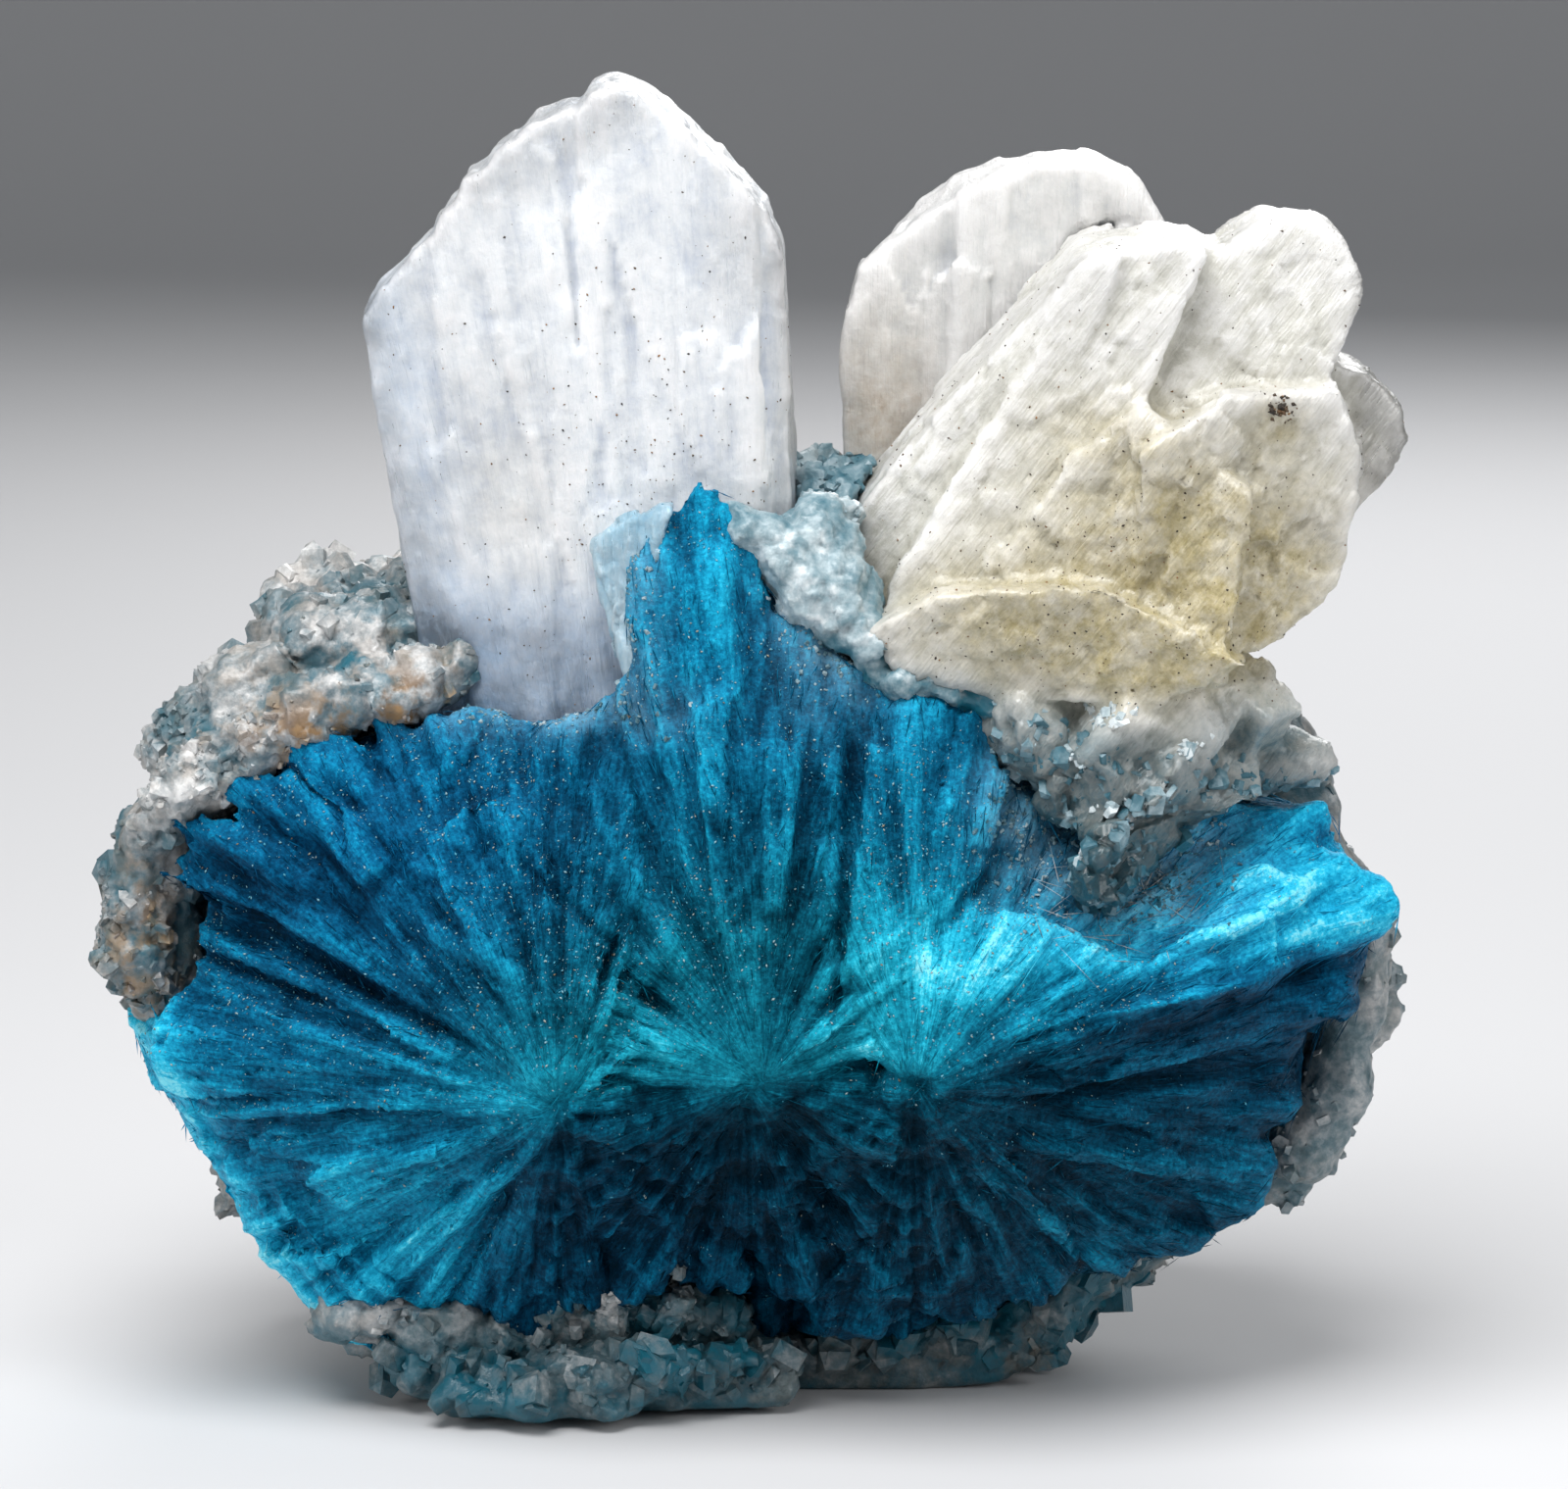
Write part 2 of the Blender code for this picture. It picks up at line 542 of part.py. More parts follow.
def room_above_ground():
    """The space that the crust may fill: level over its foot, and rising from the foot's edges."""
    corners = [Vector((x, y, 0.0)) for x, y in FOOT]
    planes = [(corners[0], Vector((0.0, 0.0, -1.0)))]
    for start, end in zip(corners, corners[1:] + corners[:1]):
        edge = (end - start).normalized()
        outward = Vector((edge.y, -edge.x, 0.0))
        planes.append((start, outward * math.sin(FOOT_RISE) - Vector((0.0, 0.0, math.cos(FOOT_RISE)))))
    return cut_block(planes, 0.0)


def recess_cutter():
    """The undercut below the right fan, where no crust shows."""
    return cut_block(RECESS, 0.0)


def back_crystals(chance):
    """Places of small crystals spread over the crust's back."""
    places = []
    for i in range(BACK_CRYSTAL_COUNT):
        height = -0.72 + 1.55 * (i + 0.5) / BACK_CRYSTAL_COUNT
        heading = chance.uniform(0.12, 0.88) * math.pi
        ring = math.sqrt(1.0 - height * height)
        outward = Vector((ring * math.cos(heading), ring * math.sin(heading), height))
        place = BALL_CENTRE + Vector([a * b for a, b in zip(outward, CRUST_RADII)])
        places.append((*place, chance.uniform(2.2, 3.4)))
    return places


def make_crust(work, specimen):
    chance = random.Random("crust")
    pieces = [object_from(crust_shell(chance), "shell", work)]
    pieces += tablet_objects(CRUST_CRYSTALS, "crust crystals", 0.0, work)
    pieces += tablet_objects(back_crystals(chance), "back crystals", 0.0, work)
    crust = joined(pieces)
    cutters = [object_from(ball(GAP), "hollow", work)]
    cutters.append(object_from(recess_cutter(), "recess", work))
    for fan in FANS.values():
        cutters.append(object_from(fan_body(fan, -FAN_ROOM, -FAN_ROOM_FRONT, FAN_ROOM_BACK_Y), "room", work))
    flank = fan_body(FLANK, -FLANK_ROOM, -FAN_ROOM_FRONT, FLANK_BACK_Y + FLANK_ROOM, FLANK_FLARE)
    cutters.append(object_from(flank, "room", work))
    cutters += crystal_cutters(work)
    crust = combine(crust, cutters, "DIFFERENCE")
    crust = combine(crust, [object_from(room_above_ground(), "ground", work)], "INTERSECT")
    return finish(crust, "zeolite_crust", specimen)


def make_left_crystal(work, specimen):
    crystal = joined(lath_objects(LEFT_CRYSTAL, 0.0, work))
    return finish(crystal, "stilbite_left", specimen)


def make_right_crystal(work, specimen):
    """The cream crystal, with the druse and the rounded lump that grow from its underside."""
    pieces = lath_objects(RIGHT_CRYSTAL, 0.0, work)
    pieces += tablet_objects(HANGING_DRUSE, "hanging", 0.0, work)
    pieces.append(object_from(lump(0.0), "lump", work))
    return finish(joined(pieces), "stilbite_right", specimen)


def make_back_crystal(work, specimen):
    """The crystal behind the right one, cut clear of it."""
    crystal = joined(lath_objects(BACK_CRYSTAL, 0.0, work))
    crystal = combine(crystal, lath_objects(RIGHT_CRYSTAL, GAP, work), "DIFFERENCE")
    return finish(crystal, "stilbite_back", specimen)


def make_frosting(work, specimen):
    """The small crystals in the saddle, cut clear of the large crystals that they sit between."""
    frosting = joined(tablet_objects(SADDLE_DRUSE, "saddle", 0.0, work))
    cutters = []
    for specs in (LEFT_CRYSTAL, RIGHT_CRYSTAL, BACK_CRYSTAL):
        cutters += lath_objects(specs, GAP, work)
    frosting = combine(frosting, cutters, "DIFFERENCE")
    return finish(frosting, "druse_saddle", specimen)


def main():
    clear_scene()
    specimen = make_collection("cavansite_specimen")
    work = make_collection("work")
    make_cavansite(work, specimen)
    make_crust(work, specimen)
    make_left_crystal(work, specimen)
    make_right_crystal(work, specimen)
    make_back_crystal(work, specimen)
    make_frosting(work, specimen)
    bpy.data.collections.remove(work)


main()
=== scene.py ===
"""The looks of the cavansite specimen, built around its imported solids.

Lengths are in millimetres, seen from the broken front: X to the right, Y away from the viewer,
Z up from the floor, in the part's own frame. Meshes are scaled to metres as they are made.
"""

import math

import bmesh
import bpy
import numpy as np
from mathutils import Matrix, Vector


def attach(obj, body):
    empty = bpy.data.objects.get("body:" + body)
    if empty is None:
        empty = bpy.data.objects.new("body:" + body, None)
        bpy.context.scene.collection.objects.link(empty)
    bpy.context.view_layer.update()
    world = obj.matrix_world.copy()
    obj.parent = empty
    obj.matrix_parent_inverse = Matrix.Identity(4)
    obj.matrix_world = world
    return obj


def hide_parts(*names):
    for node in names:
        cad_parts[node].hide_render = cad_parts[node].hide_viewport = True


MM = 0.001

# The broken face's fans: each blade runs from its hub.
HUBS = {"left": (-4.5, -7.7, 8.3), "middle": (0.1, -7.5, 8.8), "right": (3.5, -8.3, 8.9),
        "lower": (-0.2, -7.2, 8.7)}
FAN_NAMES = list(HUBS)
# Where one fan gives way to the next, as (z, x) from the bottom up.
LEFT_FAN_EDGE = [(2.0, -3.2), (7.4, -4.2), (8.4, -4.3), (9.2, -3.6), (11.0, -3.1), (13.4, -2.5), (17.0, -3.2)]
RIGHT_FAN_EDGE = [(2.5, 0.7), (4.9, 2.7), (7.4, 3.2), (8.9, 3.2), (10.6, 2.2), (13.4, 1.4), (17.0, 2.1)]
MIDDLE_FAN_FLOOR = 8.6
# The crest between the upper, lit side and the undercut, as (x, z).
CREST = [(-7.0, 1.5), (-6.2, 4.6), (-5.3, 7.2), (-4.5, 8.2), (-3.4, 8.8), (-1.6, 8.4), (0.1, 8.7), (2.0, 9.2),
         (3.5, 8.9), (7.4, 10.1), (9.6, 10.9), (11.9, 11.6), (15.0, 11.9)]

# Soft oval regions of the broken face: centre x and z, half width, half height, and how much is added.
BLUE_TONE = 0.44
BLUE_TONE_REGIONS = [
    (-1.2, 20.0, 1.8, 1.8, 0.14), (-11.2, 12.6, 2.6, 1.4, -0.12), (-9.3, 10.6, 3.2, 0.6, -0.14),
    (-5.7, 8.5, 1.9, 0.7, 0.22), (-8.2, 5.0, 3.2, 2.2, 0.22), (-9.0, 8.0, 3.0, 1.0, 0.05),
    (-2.4, 9.6, 1.6, 0.7, 0.20), (-0.6, 8.9, 1.0, 0.4, 0.14), (1.7, 9.7, 1.2, 0.8, 0.24),
    (3.6, 14.9, 2.0, 2.6, 0.05), (5.2, 11.6, 2.4, 1.1, 0.32), (3.4, 11.2, 1.2, 2.0, 0.20),
    (9.4, 12.0, 3.0, 1.0, 0.26), (11.5, 13.2, 2.6, 1.8, 0.20), (13.4, 12.4, 1.8, 1.2, 0.30),
    (8.5, 7.6, 4.2, 2.2, 0.03), (6.0, 4.7, 3.0, 2.2, 0.02), (-4.4, 13.0, 1.0, 3.0, -0.08),
    (1.2, 13.4, 0.8, 2.6, -0.08), (-1.6, 15.5, 0.9, 3.0, 0.05), (5.4, 6.1, 0.7, 0.6, 0.14),
    (6.5, 5.1, 0.7, 0.6, 0.14), (7.6, 4.1, 0.7, 0.6, 0.14), (11.5, 6.5, 1.5, 1.5, 0.10),
    (-1.5, 6.0, 3.5, 1.8, -0.08), (-8.6, 3.6, 2.2, 1.4, 0.07), (9.0, 6.0, 2.6, 1.6, 0.06),
    (6.5, 3.4, 2.4, 1.2, 0.06),
]
TEAL_SHARE = 0.38
TEAL_REGIONS = [
    (0.3, 11.0, 5.0, 3.4, 0.70), (5.5, 5.5, 8.0, 4.5, 0.30), (-4.5, 9.6, 2.5, 2.0, 0.35),
    (-9.0, 14.0, 5.0, 3.6, -0.30), (12.0, 12.5, 4.0, 3.0, -0.15), (-8.0, 6.0, 3.0, 2.5, 0.1),
]
UNDERCUT_SHADE = 0.20
SMALL_PLATES = 150

# Raised and sunken plates of the broken face: inner end, outer end, width at each end, and height.
PLATES = [
    (-8.5, 13.1, -11.0, 16.0, 0.9, 1.3, 0.38), (-6.0, 9.3, -13.0, 12.3, 0.25, 1.2, -0.50),
    (-6.5, 8.7, -12.5, 10.0, 0.3, 0.6, 0.22), (-3.9, 10.0, -2.9, 12.6, 0.2, 0.4, -0.35),
    (-4.6, 9.8, -6.5, 15.6, 0.15, 0.8, -0.22), (1.6, 9.8, 2.3, 17.5, 0.15, 0.7, -0.35),
    (-4.9, 7.4, -9.5, 2.6, 0.3, 1.2, 0.28), (-5.2, 7.0, -7.4, 2.6, 0.2, 0.7, -0.35),
    (-9.4, 10.0, -13.6, 11.2, 0.15, 0.5, -0.30), (0.3, 12.6, 0.6, 17.2, 0.5, 1.1, 0.24),
    (-1.2, 12.8, -2.0, 18.6, 0.3, 0.8, -0.22), (3.6, 12.6, 3.2, 17.2, 0.3, 0.9, 0.22),
    (7.2, 11.8, 9.6, 13.8, 0.4, 0.9, -0.25), (8.8, 11.2, 13.6, 13.3, 0.25, 0.6, 0.25),
    (5.6, 8.2, 12.9, 8.9, 0.3, 1.0, -0.30), (5.8, 7.4, 11.9, 5.6, 0.3, 0.9, 0.26),
]
# Sharp ridges of the broken face, from their inner end to their outer end, with their width.
RIDGES = [
    ((-0.9, -7.2, 10.8), (-5.8, -5.3, 15.4), 0.55), ((0.2, -7.7, 9.0), (2.1, -8.0, 10.5), 0.55),
    ((-4.0, -7.7, 8.6), (-2.5, -7.6, 9.9), 0.50), ((-1.9, -7.5, 9.0), (-2.6, -7.5, 10.2), 0.50),
    ((-1.8, -7.4, 8.8), (-3.4, -7.4, 9.2), 0.50), ((4.4, -8.0, 8.4), (7.2, -4.9, 4.6), 0.70),
    ((5.6, -8.1, 10.1), (11.6, -6.4, 10.9), 0.50), ((-5.0, -7.1, 11.6), (-4.7, -6.4, 14.0), 0.30),
    ((3.3, -8.3, 9.1), (2.6, -7.8, 11.4), 0.45), ((-6.0, -7.3, 7.6), (-9.6, -5.2, 5.8), 0.45),
]
# Broad thin blades that carry the blue up to the crust at the upper left.
RIM_BLADES = [
    ((-8.5, -5.5, 12.2), (-13.9, -4.0, 14.3), 2.0), ((-8.0, -5.5, 13.0), (-12.8, -4.0, 15.5), 2.0),
    ((-7.5, -5.4, 13.6), (-10.9, -4.0, 16.6), 2.0), ((-6.8, -5.3, 14.0), (-8.9, -4.0, 17.0), 1.8),
    ((-9.0, -5.4, 11.4), (-13.9, -4.0, 13.0), 1.6), ((-1.3, -5.6, 17.5), (-1.35, -4.9, 22.0), 2.4),
    ((-0.7, -5.6, 17.5), (-0.75, -5.0, 21.7), 1.2), ((-1.9, -5.7, 17.0), (-2.15, -5.0, 21.0), 1.3),
    ((-0.3, -5.6, 17.0), (-0.1, -5.0, 20.9), 1.3), ((-1.7, -5.6, 17.5), (-1.7, -5.0, 21.7), 1.5),
    ((-2.3, -5.8, 16.8), (-2.55, -5.25, 21.2), 1.5), ((-2.0, -5.7, 17.5), (-2.15, -5.1, 21.8), 1.6),
    ((-1.0, -5.6, 18.0), (-1.0, -5.0, 21.9), 1.5), ((-0.5, -5.6, 17.5), (-0.45, -5.0, 21.4), 1.3),
]
# The smooth left flank is a row of long laths along this outline, as (x, z) from the top down.
FLANK_OUTLINE = [(-14.5, 10.1), (-13.95, 8.2), (-13.15, 6.25), (-12.3, 4.45), (-11.2, 2.85), (-9.9, 1.8)]
# Each row of laths: how far inside the outline, how far forward, its width, and where it starts.
FLANK_ROWS = [(0.30, -2.9, 0.9, 0.4), (0.42, -2.1, 1.0, 0.6), (0.85, -3.5, 1.0, 0.8), (1.4, -3.9, 1.0, 1.0),
              (0.6, -1.2, 1.1, 1.2), (1.0, -0.2, 1.2, 1.4), (1.9, -3.9, 1.1, 4.0), (2.4, -3.8, 1.1, 5.0)]
FLANK_LATH = 4.0
FLANK_SPACING = 1.3
# Blue lumps that fill the meeting places of the fans, as (x, y, z, radius).
HUB_MASSES = [
    (2.7, -6.9, 7.9, 0.95), (2.2, -6.7, 8.5, 0.9), (-3.3, -6.8, 8.0, 0.95), (-2.4, -6.5, 8.4, 0.8),
    (3.4, -7.4, 8.6, 0.75), (-4.2, -7.1, 8.1, 0.7), (0.4, -6.9, 8.5, 0.7), (-11.2, -3.0, 4.8, 0.75),
]

# Regions of the crust: how light it is, and where it turns teal or brown. The two regions at the bottom that take 0.24
# away are painted shade under the blades.
CRUST_LIGHT = 0.50
CRUST_LIGHT_REGIONS = [
    (-10.5, 16.8, 4.5, 2.6, 0.14), (-13.0, 14.9, 1.2, 0.8, 0.30), (-9.6, 2.6, 1.0, 0.9, 0.34),
    (-4.0, 1.0, 7.0, 2.6, -0.24), (8.0, 1.5, 7.0, 3.0, -0.24), (-14.2, 10.8, 1.4, 2.4, 0.04),
    (-3.6, 3.0, 1.6, 0.8, 0.26), (13.4, 8.0, 1.6, 3.4, 0.04),
]
BACK_LIGHTER = 0.16
CRUST_TEAL = 0.30
CRUST_TEAL_REGIONS = [
    (-9.0, 17.8, 1.5, 1.1, 0.65), (-12.6, 15.6, 1.2, 0.8, 0.45), (-4.0, 1.5, 6.0, 2.0, 0.55),
    (-13.8, 11.5, 1.0, 1.6, 0.45), (6.0, 1.5, 6.0, 2.0, 0.55), (13.4, 8.0, 1.6, 3.4, -0.25),
]
CRUST_BROWN = 0.22
CRUST_BROWN_REGIONS = [
    (-10.4, 16.0, 1.6, 0.8, 0.60), (-7.8, 16.9, 1.2, 0.8, 0.70), (-14.0, 10.8, 1.0, 2.0, 0.6),
    (-9.0, 16.6, 2.0, 0.7, 0.40), (-4.0, 1.5, 6.0, 2.0, -0.20), (13.4, 8.0, 1.6, 3.4, -0.2),
]
# From the darkest to the lightest crystal, as (value, colour), for the crust and for the druse.
CRUST_TONES = [
    (0.0, (0.006, 0.028, 0.042)), (0.2, (0.022, 0.070, 0.092)), (0.4, (0.10, 0.165, 0.19)),
    (0.6, (0.29, 0.325, 0.34)), (0.8, (0.56, 0.565, 0.56)), (1.0, (0.90, 0.90, 0.89)),
]
DRUSE_TONES = [
    (0.0, (0.010, 0.060, 0.085)), (0.2, (0.030, 0.110, 0.150)), (0.4, (0.10, 0.21, 0.26)),
    (0.6, (0.24, 0.36, 0.41)), (0.8, (0.46, 0.57, 0.61)), (1.0, (0.80, 0.87, 0.89)),
]


def vertices_of(mesh):
    flat = np.empty(len(mesh.vertices) * 3, np.float32)
    mesh.vertices.foreach_get("co", flat)
    return flat.reshape(-1, 3).astype(float) / MM


def normals_of(mesh):
    flat = np.empty(len(mesh.vertices) * 3, np.float32)
    mesh.vertex_normals.foreach_get("vector", flat)
    return flat.reshape(-1, 3).astype(float)


def move_vertices(mesh, points):
    mesh.vertices.foreach_set("co", (points * MM).astype(np.float32).ravel())
    mesh.update()


def lattice_random(cells, seed):
    """A steady pseudo-random number from 0 to 1 for each whole-numbered cell."""
    cells = cells.astype(np.int64)
    mixed = cells[:, 0] * 73856093 ^ cells[:, 1] * 19349663 ^ cells[:, 2] * 83492791 ^ (seed * 2654435 + 97)
    mixed = (mixed ^ (mixed >> 13)) * 1274126177
    mixed = mixed ^ (mixed >> 16)
    return (mixed & 0xFFFFF) / 0xFFFFF


def smooth_noise(points, seed):
    """Value noise from -1 to 1 with one cell to the unit."""
    base = np.floor(points)
    part = points - base
    part = part * part * (3.0 - 2.0 * part)
    total = np.zeros(len(points))
    for dx in (0, 1):
        for dy in (0, 1):
            for dz in (0, 1):
                weight = np.abs(1 - dx - part[:, 0]) * np.abs(1 - dy - part[:, 1])
                weight = weight * np.abs(1 - dz - part[:, 2])
                total += weight * lattice_random(base + (dx, dy, dz), seed)
    return total * 2.0 - 1.0


def layered_noise(points, layers, seed):
    total = np.zeros(len(points))
    for layer in range(layers):
        total += smooth_noise(points * 2.0 ** layer, seed + layer) / 2.0 ** layer
    return total


def facets(points, seed):
    """A broken relief from about -1 to 1: each cell is one small plane with its own tilt and level."""
    base = np.floor(points)
    nearest = np.full(len(points), 9.0)
    height = np.zeros(len(points))
    neighbours = [(dx, dy, dz) for dx in (-1, 0, 1) for dy in (-1, 0, 1) for dz in (-1, 0, 1)]
    for neighbour in neighbours:
        cell = base + neighbour
        chance = [lattice_random(cell, seed + k) for k in range(7)]
        offset = points - cell - np.stack(chance[0:3], axis=1)
        distance = (offset ** 2).sum(1)
        tilt = np.stack(chance[3:6], axis=1) * 2.0 - 1.0
        level = (offset * tilt).sum(1) * 1.3 + chance[6] - 0.5
        height = np.where(distance < nearest, level, height)
        nearest = np.minimum(nearest, distance)
    return height


def blob(x, z, region):
    """How far a point is inside a soft oval region: 1 at its centre, 0 well outside."""
    centre_x, centre_z, half_width, half_height = region[:4]
    return np.exp(-((x - centre_x) / half_width) ** 2 - ((z - centre_z) / half_height) ** 2)


def along_curve(values, curve):
    known = np.array(curve)
    return np.interp(values, known[:, 0], known[:, 1])


def soft_step(values, low, high):
    share = np.clip((values - low) / (high - low), 0.0, 1.0)
    return share * share * (3.0 - 2.0 * share)


def fan_of(points):
    """Which fan each point of the broken face belongs to, as an index into FAN_NAMES."""
    x, z = points[:, 0], points[:, 2]
    fan = np.where(z > MIDDLE_FAN_FLOOR, FAN_NAMES.index("middle"), FAN_NAMES.index("lower"))
    fan = np.where(x < along_curve(z, LEFT_FAN_EDGE), FAN_NAMES.index("left"), fan)
    return np.where(x > along_curve(z, RIGHT_FAN_EDGE), FAN_NAMES.index("right"), fan)


def fan_coordinates(points):
    """Each point's place in its fan: across the blades, along them, and the fan's number."""
    fan = fan_of(points)
    hubs = np.array([HUBS[name] for name in FAN_NAMES])[fan]
    away = points - hubs
    heading = np.arctan2(away[:, 0], away[:, 2])
    reach = np.linalg.norm(away, axis=1)
    return np.stack([heading * 7.0, reach, fan * 7.3], axis=1), away


def undercut(points):
    """0 above the crest, 1 below it."""
    x, z = points[:, 0], points[:, 2]
    below = along_curve(x, CREST) - z
    return soft_step(below, -0.1, 0.7) * soft_step(x, -7.4, -6.0)


def sum_of_regions(base, points, regions):
    """A number over the surface: its base, and what each soft region adds."""
    total = np.full(len(points), float(base))
    for region in regions:
        total += region[4] * blob(points[:, 0], points[:, 2], region)
    return total


def averaged(mesh, points, rounds, pull=0.6):
    """The vertices' places, each drawn towards its neighbours' middle a number of times."""
    ends = np.empty(len(mesh.edges) * 2, np.int32)
    mesh.edges.foreach_get("vertices", ends)
    first, second = ends.reshape(-1, 2).T
    total = len(points)
    count = np.maximum(np.bincount(ends, minlength=total), 1)
    for _ in range(rounds):
        middle = [(np.bincount(first, points[second, axis], total) + np.bincount(second, points[first, axis], total))
                  / count for axis in range(3)]
        points = (1.0 - pull) * points + pull * np.stack(middle, axis=1)
    return points


def smooth(mesh, rounds):
    move_vertices(mesh, averaged(mesh, vertices_of(mesh), rounds))


def standing_out(mesh, rounds):
    """How far each vertex stands out from the smoothed surface: ridges above 0, valleys below."""
    points = vertices_of(mesh)
    return ((points - averaged(mesh, points, rounds, 0.8)) * normals_of(mesh)).sum(1)


def raise_by(mesh, shift):
    """Moves each vertex out along its normal."""
    move_vertices(mesh, vertices_of(mesh) + normals_of(mesh) * shift[:, None])


def place_piece(piece, stands_for=None):
    """Every piece of the specimen moves with it; the imported solid it stands for is hidden."""
    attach(piece, "root")
    if stands_for:
        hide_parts(stands_for)
    return piece


def store(mesh, name, values):
    """Keeps three numbers for each vertex, for the materials to read."""
    layer = mesh.attributes.new(name, "FLOAT_VECTOR", "POINT")
    layer.data.foreach_set("vector", values.astype(np.float32).ravel())


def remesh(piece, voxel):
    """Divides a piece's surface into small even faces and closes it into one skin."""
    weld = piece.modifiers.new("weld", "WELD")
    weld.merge_threshold = 1e-6
    fine = piece.modifiers.new("fine", "REMESH")
    fine.mode = "VOXEL"
    fine.voxel_size = voxel * MM
    fine.use_smooth_shade = True
    bpy.context.view_layer.update()
    mesh = bpy.data.meshes.new_from_object(piece.evaluated_get(bpy.context.evaluated_depsgraph_get()))
    piece.modifiers.clear()
    piece.data = mesh
    mesh.name = piece.name


def joined(piece, additions):
    """Adds other objects' faces to a piece's mesh, and removes those objects."""
    whole = bmesh.new()
    whole.from_mesh(piece.data)
    for addition in additions:
        whole.from_mesh(addition.data)
        bpy.data.objects.remove(addition)
    whole.to_mesh(piece.data)
    whole.free()


def fine_copy(node, name, voxel, keep=None, rounds=3, additions=()):
    """A finely divided copy of a solid's surface. Only the faces that keep() wants stay."""
    piece = bpy.data.objects.new(name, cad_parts[node].data.copy())
    bpy.context.scene.collection.objects.link(piece)
    piece.data.materials.clear()
    remesh(piece, voxel)
    smooth(piece.data, rounds)
    if additions:
        joined(piece, additions)
        remesh(piece, voxel)
        smooth(piece.data, 3)
    if keep is not None:
        shape = bmesh.new()
        shape.from_mesh(piece.data)
        places = np.array([face.calc_center_median() for face in shape.faces]) / MM
        unwanted = ~keep(places)
        shape.faces.ensure_lookup_table()
        bmesh.ops.delete(shape, geom=[shape.faces[i] for i in np.nonzero(unwanted)[0]], context="FACES")
        shape.to_mesh(piece.data)
        shape.free()
    return piece


def surface_samples(mesh, count, chance, weigh=None):
    """Random points on a mesh, with their normals: more of them where weigh() is larger."""
    mesh.calc_loop_triangles()
    corners = np.empty(len(mesh.loop_triangles) * 3, np.int32)
    mesh.loop_triangles.foreach_get("vertices", corners)
    corners = corners.reshape(-1, 3)
    points = vertices_of(mesh)
    a, b, c = points[corners[:, 0]], points[corners[:, 1]], points[corners[:, 2]]
    cross = np.cross(b - a, c - a)
    area = np.linalg.norm(cross, axis=1)
    normal = cross / np.maximum(area, 1e-12)[:, None]
    weight = area.copy()
    if weigh is not None:
        weight *= weigh((a + b + c) / 3.0, normal)
    picked = chance.choice(len(corners), count, p=weight / weight.sum())
    u = chance.random((count, 1))
    v = chance.random((count, 1))
    flip = (u + v) > 1
    u, v = np.where(flip, 1 - u, u), np.where(flip, 1 - v, v)
    place = a[picked] + u * (b[picked] - a[picked]) + v * (c[picked] - a[picked])
    return place, normal[picked]


def unit(vectors):
    return vectors / np.maximum(np.linalg.norm(vectors, axis=1), 1e-9)[:, None]


def along_surface(directions, normals):
    """The part of each direction that lies in the surface."""
    return unit(directions - (directions * normals).sum(1)[:, None] * normals)


def many(name, shape, places, along, across, lengths, widths, depths, tint):
    """One object of many small copies of a shape, each with its own place, turn and size."""
    corners, faces = shape
    corners = np.array(corners, float)
    third = np.cross(along, across)
    total = len(places)
    points = (places[:, None, :]
              + corners[None, :, 2, None] * (lengths[:, None] * along)[:, None, :]
              + corners[None, :, 0, None] * (widths[:, None] * across)[:, None, :]
              + corners[None, :, 1, None] * (depths[:, None] * third)[:, None, :])
    mesh = bpy.data.meshes.new(name)
    sides = len(faces[0])
    index = np.array(faces)[None, :, :] + (np.arange(total) * len(corners))[:, None, None]
    mesh.vertices.add(total * len(corners))
    mesh.loops.add(index.size)
    mesh.polygons.add(index.size // sides)
    mesh.vertices.foreach_set("co", (points * MM).astype(np.float32).ravel())
    mesh.loops.foreach_set("vertex_index", index.astype(np.int32).ravel())
    mesh.polygons.foreach_set("loop_start", np.arange(0, index.size, sides, dtype=np.int32))
    mesh.update(calc_edges=True)
    store(mesh, "tint", np.repeat(tint, len(corners), axis=0))
    piece = bpy.data.objects.new(name, mesh)
    bpy.context.scene.collection.objects.link(piece)
    return piece


# Small closed shapes, one unit long and wide, with triangles wound outwards.
def splinter():
    """A three-sided needle, pointed at both ends."""
    ring = [(math.cos(a), math.sin(a)) for a in (0.0, 2.1, 4.2)]
    corners = [(0.0, 0.0, -0.5)] + [(0.5 * x, 0.5 * y, 0.1) for x, y in ring] + [(0.0, 0.0, 0.5)]
    faces = []
    for i in range(3):
        after = (i + 1) % 3
        faces.append((0, 1 + after, 1 + i))
        faces.append((4, 1 + i, 1 + after))
    return corners, faces


def grain():
    """A small octahedron."""
    corners = [(0.5, 0, 0), (0, 0.5, 0), (-0.5, 0, 0), (0, -0.5, 0), (0, 0, 0.5), (0, 0, -0.5)]
    faces = []
    for i in range(4):
        after = (i + 1) % 4
        faces.append((4, i, after))
        faces.append((5, after, i))
    return corners, faces


def tablet():
    """A flat crystal with four sides and a wedge-shaped end, standing on its root."""
    base = [(-0.5, -0.5), (0.5, -0.5), (0.5, 0.5), (-0.5, 0.5)]
    corners = [(0.8 * x, y, -0.3) for x, y in base] + [(x, y, 0.42) for x, y in base]
    corners += [(-0.3, 0.0, 0.7), (0.3, 0.0, 0.7)]
    faces = []
    for i in range(4):
        after = (i + 1) % 4
        faces.append((i, after, 4 + after))
        faces.append((i, 4 + after, 4 + i))
    faces += [(4, 5, 9), (4, 9, 8), (6, 7, 8), (6, 8, 9), (5, 6, 9), (7, 4, 8)]
    faces += [(3, 2, 1), (3, 1, 0)]
    return corners, faces


